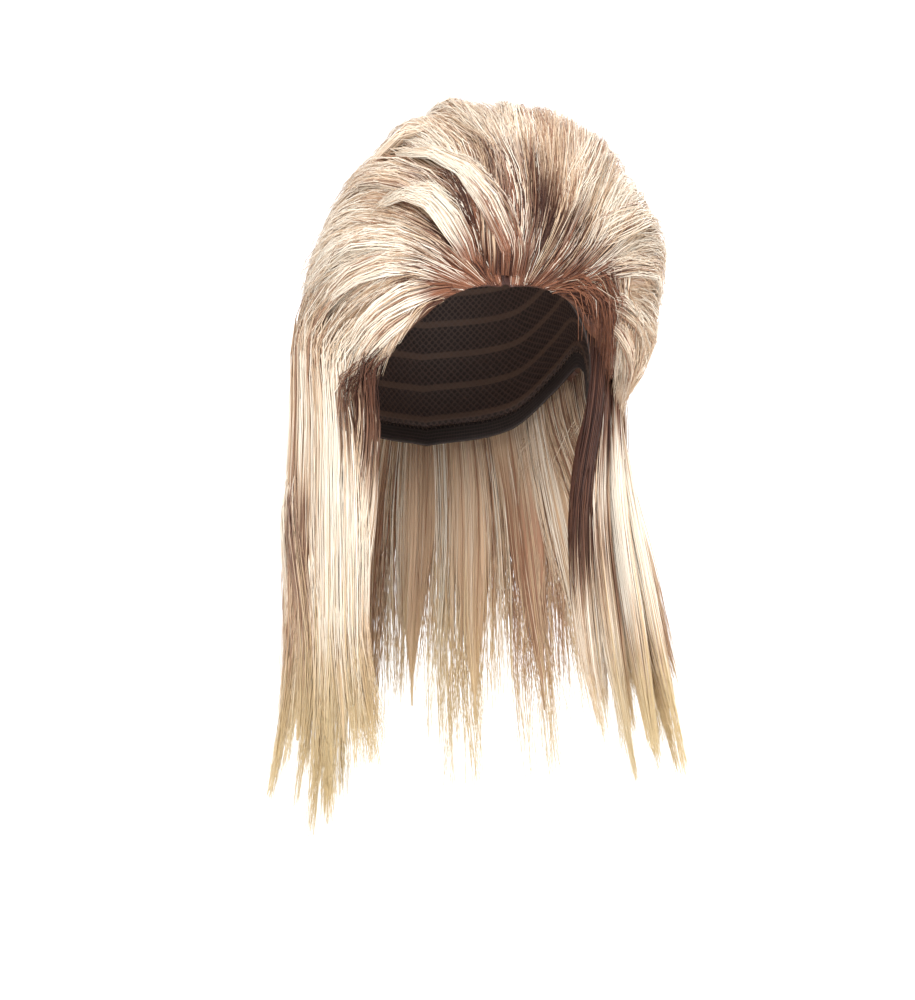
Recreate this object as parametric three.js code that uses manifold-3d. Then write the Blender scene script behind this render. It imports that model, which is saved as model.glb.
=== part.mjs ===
// A long mullet wig: short teased hair swept back from the forehead over the crown and sides,
// and long straight hair from behind the ears and the nape. Millimetres, +Z up.
// The face looks along -Y and the wearer's left is +X. The origin is the crown of the head,
// the point where the cap's lining rests on it.
import * as THREE from "three";
import { mergeVertices } from "three/addons/utils/BufferGeometryUtils.js";
import Module from "manifold-3d";

const wasm = await Module();
wasm.setup();

// The head that the wig is made for: the crown half of an egg, widest at its ears
const headBreadth = 154;
const headLength = 196;
const headHeight = 100; // from the crown down to the widest level

// The cap and its elastic band
const capWall = 1.8; // its elastic band too
const bandHeight = 11;
const hairlineDrop = 50; // from the crown down to the cap's front edge
const earTabDrop = 122;
const earDrop = 102;
const napeDrop = 150;

// The hair
const clearance = 0.4; // between pieces that touch
const facetTolerance = 0.24; // facets flatter than this are merged
const crownLift = 66; // how far the crown hair stands off the cap
const hemThickness = 6; // of the short hair where it ends over the long hair
const longDrop = 392; // from the crown down to the longest tips
const lockWidth = 42;
const lockThickness = 14;

// The short hair fans out from the forehead and meets again at the nape. A direction in it is a
// fan angle, 0 to the left, 90 over the crown and 180 to the right, and a travel angle from the
// forehead, 0, to the nape, 180. Both are seen from a centre inside the head.
const fanCentre = new THREE.Vector3(0, -0.05 * (headLength / 2), -1.05 * headHeight);
const fanTilt = 28.5; // how far the line from nape to forehead climbs, in degrees

// How far the hair stands off the cap, as a share of crownLift, at each travel angle (rows) and
// fan angle (columns). leftHem and rightHem are the fan angles where the short hair ends.
const fanAngles = { leftLow: -12, leftSide: 15, leftTemple: 35, leftTop: 60, crown: 90, rightTop: 115, rightTemple: 140, rightSide: 165, rightLow: 192 };
const hairDepths = [
  { travel: 0, leftHem: 12, rightHem: 168, leftLow: 0.05, leftSide: 0.05, leftTemple: 0.05, leftTop: 0.05, crown: 0.05, rightTop: 0.05, rightTemple: 0.05, rightSide: 0.05, rightLow: 0.05 },
  { travel: 15, leftHem: 6, rightHem: 178, leftLow: 0.07, leftSide: 0.1, leftTemple: 0.14, leftTop: 0.19, crown: 0.22, rightTop: 0.19, rightTemple: 0.14, rightSide: 0.1, rightLow: 0.07 },
  { travel: 30, leftHem: 2, rightHem: 190, leftLow: 0.1, leftSide: 0.22, leftTemple: 0.36, leftTop: 0.5, crown: 0.57, rightTop: 0.48, rightTemple: 0.34, rightSide: 0.22, rightLow: 0.12 },
  { travel: 45, leftHem: -7, rightHem: 196, leftLow: 0.15, leftSide: 0.43, leftTemple: 0.68, leftTop: 0.84, crown: 0.85, rightTop: 0.74, rightTemple: 0.53, rightSide: 0.38, rightLow: 0.22 },
  { travel: 60, leftHem: -12, rightHem: 196, leftLow: 0.26, leftSide: 0.62, leftTemple: 0.95, leftTop: 1.1, crown: 0.92, rightTop: 0.74, rightTemple: 0.57, rightSide: 0.44, rightLow: 0.36 },
  { travel: 75, leftHem: -14, rightHem: 194, leftLow: 0.36, leftSide: 0.76, leftTemple: 1.08, leftTop: 1.12, crown: 0.92, rightTop: 0.66, rightTemple: 0.51, rightSide: 0.43, rightLow: 0.46 },
  { travel: 90, leftHem: -13, rightHem: 192, leftLow: 0.4, leftSide: 0.78, leftTemple: 1.06, leftTop: 1.05, crown: 0.86, rightTop: 0.61, rightTemple: 0.46, rightSide: 0.42, rightLow: 0.5 },
  { travel: 110, leftHem: -9, rightHem: 188, leftLow: 0.4, leftSide: 0.72, leftTemple: 0.88, leftTop: 0.84, crown: 0.68, rightTop: 0.53, rightTemple: 0.42, rightSide: 0.4, rightLow: 0.46 },
  { travel: 130, leftHem: -3, rightHem: 182, leftLow: 0.38, leftSide: 0.57, leftTemple: 0.65, leftTop: 0.6, crown: 0.48, rightTop: 0.42, rightTemple: 0.37, rightSide: 0.35, rightLow: 0.38 },
  { travel: 150, leftHem: 4, rightHem: 176, leftLow: 0.37, leftSide: 0.43, leftTemple: 0.45, leftTop: 0.41, crown: 0.36, rightTop: 0.34, rightTemple: 0.33, rightSide: 0.32, rightLow: 0.34 },
];
const hairlineTravel = 4; // where the hair starts on the forehead
const backTravel = 108; // where the crown and side hair meets the back layers
const napeTravel = 147; // where the back layers end

// Long ridges that the swept locks raise along their fan angle, as shares of crownLift
const ridges = [
  { fan: -7, halfWidth: 7, rise: 0.07 },
  { fan: 8, halfWidth: 7, rise: 0.07 },
  { fan: 24, halfWidth: 8, rise: 0.08 },
  { fan: 39, halfWidth: 6, rise: 0.05 },
  { fan: 52, halfWidth: 7, rise: 0.05 },
  { fan: 68, halfWidth: 8, rise: 0.08 },
  { fan: 92, halfWidth: 9, rise: 0.09 },
  { fan: 109, halfWidth: 6, rise: 0.04 },
  { fan: 124, halfWidth: 8, rise: 0.07 },
  { fan: 141, halfWidth: 7, rise: 0.05 },
  { fan: 157, halfWidth: 7, rise: 0.06 },
  { fan: 174, halfWidth: 8, rise: 0.06 },
  { fan: 189, halfWidth: 6, rise: 0.06 },
];

// Locks that stand proud of the short hair, each from its root to its tip. lifts are shares of
// crownLift above the hair, and width is a share of lockWidth. The first two are the forelocks.
const crownLocks = [
  { width: 0.5, fans: [47, 75, 92, 99, 114], travels: [15, 23, 32, 37, 41], lifts: [-0.05, 0.03, 0.07, 0.08, 0.04] },
  { width: 0.45, fans: [121, 110, 113, 117, 130], travels: [15, 23, 28, 35, 42], lifts: [-0.05, 0.02, 0.06, 0.07, 0.03] },
  { width: 0.55, fans: [104, 106, 108, 111], travels: [40, 52, 64, 80], lifts: [-0.05, 0, 0.01, -0.02] },
  { width: 0.45, fans: [122, 126, 129, 128], travels: [26, 38, 52, 70], lifts: [-0.05, 0, 0.01, -0.02] },
  { width: 0.6, fans: [74, 80, 80, 78], travels: [24, 38, 54, 76], lifts: [-0.05, 0, 0.01, -0.02] },
  { width: 0.5, fans: [53, 53, 56, 56], travels: [24, 38, 56, 78], lifts: [-0.05, 0, 0.01, -0.02] },
  { width: 0.5, fans: [94, 93, 93, 94], travels: [46, 58, 74, 94], lifts: [-0.06, -0.04, -0.03, -0.05] },
];
const leftSideLocks = [
  { width: 0.55, fans: [30, 32, 33, 31], travels: [24, 40, 58, 82], lifts: [-0.05, 0, 0.01, -0.02] },
  { width: 0.55, fans: [17, 19, 19, 15], travels: [26, 44, 62, 84], lifts: [-0.05, 0, 0.02, 0.01] },
  { width: 0.5, fans: [7, 5, 2, -4], travels: [26, 42, 60, 84], lifts: [-0.05, 0.01, 0.02, 0.03] },
  { width: 0.5, fans: [0, -4, -10, -18], travels: [34, 48, 64, 82], lifts: [-0.05, 0, 0.02, 0.01] },
];
const rightSideLocks = [
  { width: 0.5, fans: [146, 148, 151, 156], travels: [20, 36, 54, 76], lifts: [-0.05, 0, 0.01, -0.02] },
  { width: 0.55, fans: [158, 160, 165, 172], travels: [20, 38, 56, 78], lifts: [-0.05, 0, 0.01, -0.01] },
  { width: 0.5, fans: [171, 178, 185, 192], travels: [17, 32, 48, 66], lifts: [-0.05, 0.01, 0.02, 0] },
  { width: 0.45, fans: [184, 189, 195, 200], travels: [30, 42, 54, 66], lifts: [-0.05, 0, 0.01, 0] },
];

// Locks of the long hair, front to back. x and y are where each runs at the root and at the
// jaw, shoulder and tip, as shares of half the head's breadth and length. tip is the share of
// longDrop that it reaches, and width is a share of lockWidth.
const sideLevels = { root: 0.92 * headHeight, jaw: 0.46 * longDrop, shoulder: 0.7 * longDrop };
const backLevels = { ...sideLevels, root: 0.7 * headHeight };
const rightLocks = [
  { width: 0.5, tip: 0.88, x: [-1.03, -1, -0.95, -0.84], y: [-0.35, -0.37, -0.47, -0.59] },
  { width: 0.65, tip: 0.95, x: [-1.08, -1.08, -1.04, -0.94], y: [-0.24, -0.34, -0.48, -0.65] },
  { width: 0.85, tip: 0.975, x: [-1.12, -1.18, -1.17, -1.17], y: [-0.1, -0.24, -0.41, -0.56] },
  { width: 1, tip: 1, x: [-1.13, -1.26, -1.29, -1.39], y: [0.09, -0.04, -0.21, -0.4] },
  { width: 1, tip: 0.98, x: [-1.09, -1.31, -1.39, -1.55], y: [0.3, 0.17, -0.01, -0.2] },
  { width: 1, tip: 0.95, x: [-1, -1.27, -1.42, -1.6], y: [0.51, 0.41, 0.24, 0.06] },
];
const leftLocks = [
  { width: 0.5, tip: 0.9, x: [0.99, 0.9, 0.92, 1.09], y: [-0.41, -0.45, -0.52, -0.61] },
  { width: 0.75, tip: 0.95, x: [1.06, 1, 1.09, 1.26], y: [-0.27, -0.36, -0.46, -0.58] },
  { width: 0.95, tip: 0.99, x: [1.12, 1.14, 1.31, 1.51], y: [-0.1, -0.21, -0.34, -0.46] },
  { width: 1, tip: 0.96, x: [1.13, 1.26, 1.53, 1.71], y: [0.1, -0.01, -0.14, -0.27] },
  { width: 1, tip: 0.92, x: [1.09, 1.31, 1.61, 1.87], y: [0.31, 0.2, 0.08, -0.05] },
  { width: 1, tip: 0.94, x: [0.99, 1.26, 1.51, 1.7], y: [0.53, 0.45, 0.33, 0.19] },
];
const backLocks = [
  { width: 1, tip: 0.93, x: [-0.86, -1.12, -1.27, -1.4], y: [0.62, 0.64, 0.51, 0.35] },
  { width: 1, tip: 0.96, x: [-0.61, -0.86, -0.99, -1.09], y: [0.86, 0.88, 0.8, 0.67] },
  { width: 1, tip: 0.98, x: [-0.31, -0.47, -0.57, -0.65], y: [1, 1, 0.96, 0.88] },
  { width: 1, tip: 0.95, x: [0, -0.03, -0.08, -0.1], y: [1.04, 1.05, 1.03, 0.97] },
  { width: 1, tip: 0.99, x: [0.31, 0.42, 0.44, 0.47], y: [1, 1.01, 0.98, 0.92] },
  { width: 1, tip: 0.96, x: [0.61, 0.83, 0.96, 1.06], y: [0.86, 0.9, 0.84, 0.76] },
  { width: 1, tip: 0.92, x: [0.86, 1.1, 1.32, 1.45], y: [0.62, 0.67, 0.58, 0.47] },
];
// Where the side panels of long hair meet the back one, at the roots and at the tips
const panelSeams = { rightRoot: [-0.94, 0.61], rightTip: [-1.51, 0.21], leftRoot: [0.92, 0.62], leftTip: [1.6, 0.34] };

const hairMaterial = (colour) => new THREE.MeshStandardMaterial({ color: colour, roughness: 0.45 });
const blonde = hairMaterial(0xdcc6a4);
const ashBlonde = hairMaterial(0xcbb290);
const capMaterial = new THREE.MeshStandardMaterial({ color: 0x33231d, roughness: 0.9 });
const bandMaterial = new THREE.MeshStandardMaterial({ color: 0x1d1512, roughness: 0.8 });

const radians = THREE.MathUtils.degToRad;
const smoothstep = THREE.MathUtils.smoothstep;

// Smooth value at x through sorted knots, each [x, value]
function through(knots, x) {
  const last = knots.length - 1;
  if (x <= knots[0][0]) return knots[0][1];
  if (x >= knots[last][0]) return knots[last][1];
  const i = knots.findIndex(([kx]) => kx > x) - 1;
  const slope = (a, b) => (knots[b][1] - knots[a][1]) / (knots[b][0] - knots[a][0]);
  const tangent = (k) => slope(Math.max(k - 1, 0), Math.min(k + 1, last));
  const span = knots[i + 1][0] - knots[i][0];
  const t = (x - knots[i][0]) / span;
  const [a, b] = [knots[i][1], knots[i + 1][1]];
  const [ta, tb] = [tangent(i) * span, tangent(i + 1) * span];
  return a + t * (ta + t * (3 * (b - a) - 2 * ta - tb + t * (2 * (a - b) + ta + tb)));
}

// Distance from the fan's centre to the head's surface grown by offset, along a unit direction
function headDistance(direction, offset) {
  const half = new THREE.Vector3(headBreadth / 2, headLength / 2, headHeight).addScalar(offset);
  const start = fanCentre.clone().sub(new THREE.Vector3(0, 0, -headHeight)).divide(half);
  const way = direction.clone().divide(half);
  const [a, b, c] = [way.lengthSq(), start.dot(way), start.lengthSq() - 1];
  return (Math.sqrt(b * b - a * c) - b) / a;
}

function fanDirection(fan, travel) {
  const [f, t, tilt] = [radians(fan), radians(travel), radians(fanTilt)];
  const back = new THREE.Vector3(0, Math.cos(tilt), -Math.sin(tilt));
  const up = new THREE.Vector3(0, Math.sin(tilt), Math.cos(tilt));
  return new THREE.Vector3(Math.sin(t) * Math.cos(f), 0, 0)
    .addScaledVector(up, Math.sin(t) * Math.sin(f))
    .addScaledVector(back, -Math.cos(t));
}

const column = (name, travel) => through(hairDepths.map((row) => [row.travel, row[name]]), travel);

// The hair's depth over the cap, with the ridges of its locks
function hairDepth(fan, travel) {
  const knots = Object.entries(fanAngles).map(([name, angle]) => [angle, column(name, travel)]);
  const grown = smoothstep(travel, hairlineTravel, 50);
  const relief = ridges.reduce((sum, { fan: middle, halfWidth, rise }) => {
    const off = (fan - middle) / halfWidth;
    return sum + rise * Math.exp(-off * off);
  }, 0);
  return crownLift * (through(knots, fan) + grown * (relief - 0.05));
}

const capOuter = capWall + 1.5 * clearance; // flat facets dip a little below the curve

// Point on the short hair's outer surface, lifted by lift
function hairPoint(fan, travel, lift = 0) {
  const direction = fanDirection(fan, travel);
  const distance = headDistance(direction, capOuter) + hairDepth(fan, travel) + lift;
  return fanCentre.clone().addScaledVector(direction, distance);
}

// Point on its inner surface. It rests on the cap, and opens towards the hem as a pocket that
// the long hair comes out of.
function liningPoint(fan, travel, lift = 0) {
  const nearHem = Math.max(smoothstep(-fan, -18, 6), smoothstep(fan, 162, 186));
  const atSide = nearHem * smoothstep(travel, 44, 62);
  const atBack = smoothstep(travel, 108, 136);
  const pocket = Math.max(0, hairDepth(fan, travel) - hemThickness) * Math.max(atSide, atBack);
  const direction = fanDirection(fan, travel);
  const distance = headDistance(direction, capOuter) + pocket + lift;
  return fanCentre.clone().addScaledVector(direction, distance);
}

// A closed wall between two grids of points, each columns by rows
function wallGeometry(columns, rows, outer, inner) {
  const points = [];
  for (const side of [outer, inner]) {
    for (let i = 0; i <= columns; i++) {
      for (let j = 0; j <= rows; j++) points.push(side(i / columns, j / rows));
    }
  }
  const at = (side, i, j) => side * (columns + 1) * (rows + 1) + i * (rows + 1) + j;
  const faces = [];
  const quad = (a, b, c, d) => faces.push(a, b, c, a, c, d);
  for (let i = 0; i < columns; i++) {
    for (let j = 0; j < rows; j++) {
      quad(at(0, i, j), at(0, i, j + 1), at(0, i + 1, j + 1), at(0, i + 1, j));
      quad(at(1, i, j), at(1, i + 1, j), at(1, i + 1, j + 1), at(1, i, j + 1));
    }
    quad(at(0, i, 0), at(0, i + 1, 0), at(1, i + 1, 0), at(1, i, 0));
    quad(at(0, i, rows), at(1, i, rows), at(1, i + 1, rows), at(0, i + 1, rows));
  }
  for (let j = 0; j < rows; j++) {
    quad(at(0, 0, j), at(1, 0, j), at(1, 0, j + 1), at(0, 0, j + 1));
    quad(at(0, columns, j), at(0, columns, j + 1), at(1, columns, j + 1), at(1, columns, j));
  }
  return new THREE.BufferGeometry().setFromPoints(points).setIndex(faces);
}

// A ring wall round the head: height runs from its lower edge, 0, to its upper edge, 1
function ringGeometry(columns, rows, outer, inner) {
  const wall = wallGeometry(columns, rows, outer, inner);
  const index = [...wall.index.array];
  const endFaces = rows * 4 * 3; // the two end walls, which a ring doesn't have
  return wall.setIndex(index.slice(0, index.length - endFaces));
}

// Geometry as a solid, with shared vertices merged and its faces turned out
function solid(geometry) {
  const bare = new THREE.BufferGeometry();
  bare.setAttribute("position", geometry.getAttribute("position"));
  bare.setIndex(geometry.index);
  const merged = mergeVertices(bare, 1e-3);
  const corners = new Uint32Array(merged.index.array);
  const kept = [];
  for (let i = 0; i < corners.length; i += 3) {
    const [a, b, c] = corners.subarray(i, i + 3);
    if (a !== b && b !== c && c !== a) kept.push(a, b, c);
  }
  const build = (triVerts) =>
    new wasm.Manifold(
      new wasm.Mesh({ numProp: 3, vertProperties: merged.attributes.position.array, triVerts }),
    );
  const made = build(new Uint32Array(kept));
  if (made.volume() > 0) return made;
  return build(new Uint32Array(kept.reverse()));
}

function geometryOf(manifold) {
  const mesh = manifold.getMesh();
  const points = new Float32Array(mesh.numVert * 3);
  for (let i = 0; i < mesh.numVert; i++) {
    points.set(mesh.vertProperties.subarray(i * mesh.numProp, i * mesh.numProp + 3), i * 3);
  }
  const made = new THREE.BufferGeometry();
  made.setAttribute("position", new THREE.BufferAttribute(points, 3));
  made.setIndex(new THREE.BufferAttribute(mesh.triVerts, 1));
  made.computeVertexNormals();
  return made;
}

function piece(name, manifold, material) {
  const mesh = new THREE.Mesh(geometryOf(manifold.simplify(facetTolerance)), material);
  mesh.name = name;
  return mesh;
}

// The cap's edge: how far it lies below the crown at each turn from the front
const rim = [
  [0, hairlineDrop],
  [22, hairlineDrop + 5],
  [40, hairlineDrop + 14],
  [54, hairlineDrop + 34],
  [64, (hairlineDrop + 34 + earTabDrop) / 2],
  [73, earTabDrop],
  [86, earDrop + 3],
  [96, earDrop],
  [112, earDrop + 14],
  [136, napeDrop - 10],
  [180, napeDrop],
];

// Point on the head grown by offset, at a turn from the front and an angle down from the crown
function headPoint(turn, down, offset) {
  const [a, d] = [radians(turn), radians(down)];
  return new THREE.Vector3(
    (headBreadth / 2 + offset) * Math.sin(d) * Math.sin(a),
    -(headLength / 2 + offset) * Math.sin(d) * Math.cos(a),
    (headHeight + offset) * Math.cos(d) - headHeight,
  );
}

function rimAngle(turn, above) {
  const fromFront = Math.min(turn, 360 - turn);
  const drop = through(rim, fromFront) - above;
  return THREE.MathUtils.radToDeg(Math.acos(1 - drop / headHeight));
}

function makeCap() {
  const top = 2; // degrees from the crown where the last row closes
  const surface = (offset) => (u, v) => {
    const turn = (u % 1) * 360;
    const edge = rimAngle(turn, bandHeight + 1.5 * clearance);
    return headPoint(turn, v === 1 ? 0 : edge + (top - edge) * v, offset);
  };
  return solid(ringGeometry(40, 8, surface(capWall), surface(0)));
}

function makeBand() {
  const surface = (offset) => (u, v) => {
    const turn = (u % 1) * 360;
    return headPoint(turn, rimAngle(turn, bandHeight * v), offset);
  };
  return solid(ringGeometry(40, 1, surface(capWall), surface(0)));
}

// A patch of the short hair between two fan angles, or the hem where one is undefined, and two
// travel angles. skin, air and past make it larger below, above and beyond the hem.
function makePatch({ columns, rows, fans, travels }, { skin = 0, air = 0, past = 0 } = {}) {
  const place = (point, lift) => (u, v) => {
    const travel = travels[0] + (travels[1] - travels[0]) * v;
    const from = fans[0] ?? column("leftHem", travel) - past;
    const to = fans[1] ?? column("rightHem", travel) + past;
    return point(from + (to - from) * u, travel, lift);
  };
  return solid(wallGeometry(columns, rows, place(hairPoint, air), place(liningPoint, -skin)));
}

// A tapered lock along a curve, with its flat side facing out from a middle line
function makeLock(points, { width, thickness, sides, steps, slack, sharpness, outward }) {
  const curve = new THREE.CatmullRomCurve3(points, false, "centripetal");
  const rings = [];
  for (let k = 0; k <= steps; k++) {
    const t = k / steps;
    const middle = curve.getPoint(t);
    const along = curve.getTangent(t);
    const out = outward(middle, t);
    out.addScaledVector(along, -out.dot(along)).normalize();
    const across = new THREE.Vector3().crossVectors(along, out);
    const thinned = sharpness * Math.max(0, (t - slack) / (1 - slack)) ** 1.4;
    const taper = (0.6 + 0.4 * smoothstep(t, 0, 0.2)) * (1 - thinned);
    for (let s = 0; s < sides; s++) {
      const turn = (2 * Math.PI * s) / sides;
      rings.push(
        middle
          .clone()
          .addScaledVector(across, (width / 2) * taper * Math.cos(turn))
          .addScaledVector(out, (thickness / 2) * Math.sqrt(taper) * Math.sin(turn)),
      );
    }
  }
  const faces = [];
  const first = rings.push(curve.getPoint(0)) - 1;
  const last = rings.push(curve.getPoint(1)) - 1;
  for (let s = 0; s < sides; s++) {
    const next = (s + 1) % sides;
    for (let k = 0; k < steps; k++) {
      const [a, b] = [k * sides + s, k * sides + next];
      faces.push(a, b, b + sides, a, b + sides, a + sides);
    }
    faces.push(first, next, s);
    faces.push(last, steps * sides + s, steps * sides + next);
  }
  return solid(new THREE.BufferGeometry().setFromPoints(rings).setIndex(faces));
}

function makeSurfaceLock({ width, fans, travels, lifts }, grow = 0) {
  const points = fans.map((fan, i) => hairPoint(fan, travels[i], lifts[i] * crownLift));
  return makeLock(points, {
    width: width * lockWidth + 2 * grow,
    thickness: 0.65 * lockThickness + 2 * grow,
    sides: 6,
    steps: 6,
    slack: 0.4,
    sharpness: 0.85,
    outward: (at) => at.clone().sub(fanCentre),
  });
}

// Point at shares of half the head's breadth and length, a drop below the crown
const besideHead = (x, y, drop) =>
  new THREE.Vector3((x * headBreadth) / 2, (y * headLength) / 2, -drop);

function makeLongLock({ width, tip, x, y }, levels) {
  const drops = [levels.root, levels.jaw, levels.shoulder, tip * longDrop];
  const points = drops.map((drop, i) => besideHead(x[i], y[i], drop));
  const underHem = points[0].clone().lerp(points[1], 0.35);
  underHem.z = (points[0].z + points[1].z) / 2;
  points.splice(1, 0, underHem);
  return makeLock(points, {
    width: width * lockWidth,
    thickness: lockThickness,
    sides: 6,
    steps: 8,
    slack: 0.5,
    sharpness: 0.86,
    outward: (at) => new THREE.Vector3(at.x, at.y, 0),
  });
}

const joined = (solids) => solids.reduce((all, next) => all.add(next));
const largest = (manifold) =>
  manifold.decompose().sort((a, b) => b.volume() - a.volume())[0];

// What the long hair keeps clear of: the cap with its band, and the short hair over it
function headEnvelope() {
  const grown = capWall + 1.5 * clearance;
  const ball = new THREE.SphereGeometry(1, 40, 26).rotateX(Math.PI / 2);
  ball.scale(headBreadth / 2 + grown, headLength / 2 + grown, headHeight + grown);
  return solid(ball.translate(0, 0, -headHeight));
}

// A cut from the middle of the neck out through a seam, as a unit normal and its offset
function seamPlane(atRoot, atTip) {
  const root = besideHead(...atRoot, sideLevels.root);
  const tip = besideHead(...atTip, longDrop);
  const neck = besideHead(0, 0, (sideLevels.root + longDrop) / 2);
  const normal = tip.clone().sub(root).cross(neck.clone().sub(root)).normalize();
  return { normal, offset: normal.dot(root) };
}

// The side of a solid that a plane's normal points to, or with side -1 the other one
function trimmed(manifold, { normal, offset }, side) {
  const way = normal.clone().multiplyScalar(side);
  return manifold.trimByPlane(way.toArray(), side * offset + clearance / 2);
}

const seamGap = 0.22; // between two patches of short hair, in degrees of fan or travel
const leftSeam = 43;
const rightSeam = 137;
const front = { rows: 10, travels: [hairlineTravel, backTravel] };
const crownPatch = { ...front, columns: 22, fans: [leftSeam, rightSeam] };
const leftPatch = { ...front, columns: 13, fans: [undefined, leftSeam - seamGap] };
const rightPatch = { ...front, columns: 13, fans: [rightSeam + seamGap, undefined] };
const backPatch = { columns: 36, rows: 5, fans: [], travels: [backTravel + seamGap, napeTravel] };

// A patch with its locks, which end at its seams
function makeShortHair(patch, locks) {
  const whole = joined([makePatch(patch), ...locks.map((lock) => makeSurfaceLock(lock))]);
  const room = 3 * lockThickness;
  const territory = makePatch(patch, { skin: room, air: room, past: 40 });
  return largest(whole.intersect(territory));
}

const crownHair = makeShortHair(crownPatch, crownLocks);
const leftSideHair = makeShortHair(leftPatch, leftSideLocks);
const rightSideHair = makeShortHair(rightPatch, rightSideLocks);
const backLayers = makePatch(backPatch);

// The long hair is cut back from everything that lies over or under its roots
const room = { skin: 2 * clearance, air: 3 * lockThickness, past: seamGap };
const backRoomPatch = { ...backPatch, travels: [backTravel - seamGap, napeTravel + seamGap] };
const patchRooms = [crownPatch, leftPatch, rightPatch, backRoomPatch].map((patch) =>
  makePatch(patch, room),
);
const sideLocks = [...leftSideLocks, ...rightSideLocks];
const lockRoom = joined(sideLocks.map((lock) => makeSurfaceLock(lock, clearance)));
const taken = joined([headEnvelope(), lockRoom, ...patchRooms]);
const longHair = (locks, levels) =>
  joined(locks.map((lock) => makeLongLock(lock, levels))).subtract(taken);

const rightCut = seamPlane(panelSeams.rightRoot, panelSeams.rightTip);
const leftCut = seamPlane(panelSeams.leftRoot, panelSeams.leftTip);
const rightLong = trimmed(longHair(rightLocks, sideLevels), rightCut, 1);
const leftLong = trimmed(longHair(leftLocks, sideLevels), leftCut, -1);
const backBetween = trimmed(longHair(backLocks, backLevels), rightCut, -1);
const backLong = trimmed(backBetween, leftCut, 1);

const wig = new THREE.Group();
wig.add(
  piece("cap", makeCap(), capMaterial),
  piece("edge_band", makeBand(), bandMaterial),
  piece("crown_hair", crownHair, blonde),
  piece("left_side_hair", leftSideHair, blonde),
  piece("right_side_hair", rightSideHair, blonde),
  piece("back_layers", backLayers, ashBlonde),
  piece("right_long_hair", largest(rightLong), blonde),
  piece("left_long_hair", largest(leftLong), ashBlonde),
  piece("back_long_hair", largest(backLong), ashBlonde),
);

export default wig;
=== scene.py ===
import math

import bpy
import numpy as np
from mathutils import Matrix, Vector
from mathutils.bvhtree import BVHTree


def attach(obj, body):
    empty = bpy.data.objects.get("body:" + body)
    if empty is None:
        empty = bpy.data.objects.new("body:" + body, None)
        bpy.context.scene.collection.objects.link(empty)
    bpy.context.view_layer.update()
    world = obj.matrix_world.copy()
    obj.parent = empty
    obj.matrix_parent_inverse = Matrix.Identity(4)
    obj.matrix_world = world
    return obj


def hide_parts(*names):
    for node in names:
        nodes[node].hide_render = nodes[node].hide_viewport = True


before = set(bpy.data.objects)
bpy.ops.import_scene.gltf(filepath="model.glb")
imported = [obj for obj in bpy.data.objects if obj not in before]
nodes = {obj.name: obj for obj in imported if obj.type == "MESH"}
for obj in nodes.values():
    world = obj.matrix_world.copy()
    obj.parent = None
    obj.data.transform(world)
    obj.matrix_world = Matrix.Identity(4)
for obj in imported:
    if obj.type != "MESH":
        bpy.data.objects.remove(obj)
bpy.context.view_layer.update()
mm = 0.001
print("frame loaded:", ", ".join(sorted(nodes)))

# The head that the cap is made for. The origin is its crown, the face looks along -Y.
head = {"halfBreadth": 77 * mm, "halfLength": 98 * mm, "halfHeight": 100 * mm}

# The short hair fans out from the forehead and closes again at the nape. A place on it is a
# turn, 0 at the wearer's left, 90 over the crown and 180 at the right, and a travel from the
# forehead, 0, to the nape, 180, both in degrees and seen from a centre inside the head.
fan = {
    "centre": np.array([0, -4.9, -105]) * mm,
    "tilt": 28.5,
    "leftSeam": 43,
    "rightSeam": 137,
    "hairline": 1.4,
    "back": 108,
    "nape": 147,
    "reach": 0.13,  # usual distance from the centre to the hair's surface
    "capOuter": 2.4 * mm,
    "capBottom": 152 * mm,  # drop below the crown
    "hemThickness": 9 * mm,
}
# Where the short hair ends on each side, as turns at each travel
hem = {
    "travel": [0, 15, 30, 45, 60, 75, 90, 110, 130, 150],
    "left": [12, 6, 2, -7, -12, -14, -13, -9, -3, 4],
    "right": [168, 178, 190, 196, 196, 194, 192, 188, 182, 176],
}


def smooth(x, low, high):
    t = np.clip((x - low) / (high - low), 0, 1)
    return t * t * (3 - 2 * t)


def curveThrough(points, t):
    # Smooth curve through points, one row each, at shares t of its length
    points = np.asarray(points, float)
    chords = np.linalg.norm(np.diff(points, axis=0), axis=1)
    at = np.concatenate([[0], np.cumsum(chords)])
    at /= at[-1]
    slopes = np.gradient(points, at, axis=0)
    k = np.clip(np.searchsorted(at, t, side="right") - 1, 0, len(at) - 2)
    span = (at[k + 1] - at[k])[..., None]
    s = ((t - at[k]) / (at[k + 1] - at[k]))[..., None]
    a, b, ta, tb = points[k], points[k + 1], slopes[k] * span, slopes[k + 1] * span
    return (
        a * (2 * s**3 - 3 * s**2 + 1)
        + ta * (s**3 - 2 * s**2 + s)
        + b * (3 * s**2 - 2 * s**3)
        + tb * (s**3 - s**2)
    )


def unit(vectors):
    return vectors / np.linalg.norm(vectors, axis=-1, keepdims=True)


def fanDirection(turn, travel):
    f, t, tilt = np.radians(turn), np.radians(travel), math.radians(fan["tilt"])
    back = np.array([0, math.cos(tilt), -math.sin(tilt)])
    up = np.array([0, math.sin(tilt), math.cos(tilt)])
    side = np.array([1.0, 0, 0])
    return (
        (np.sin(t) * np.cos(f))[..., None] * side
        + (np.sin(t) * np.sin(f))[..., None] * up
        - np.cos(t)[..., None] * back
    )


def headDistance(direction, offset):
    # From the fan's centre to the surface of the head grown by offset
    half = np.array([head["halfBreadth"], head["halfLength"], head["halfHeight"]]) + offset
    start = (fan["centre"] + np.array([0, 0, head["halfHeight"]])) / half
    way = direction / half
    a, b, c = (way**2).sum(-1), (way * start).sum(-1), (start**2).sum() - 1
    return (np.sqrt(b * b - a * c) - b) / a


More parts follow.
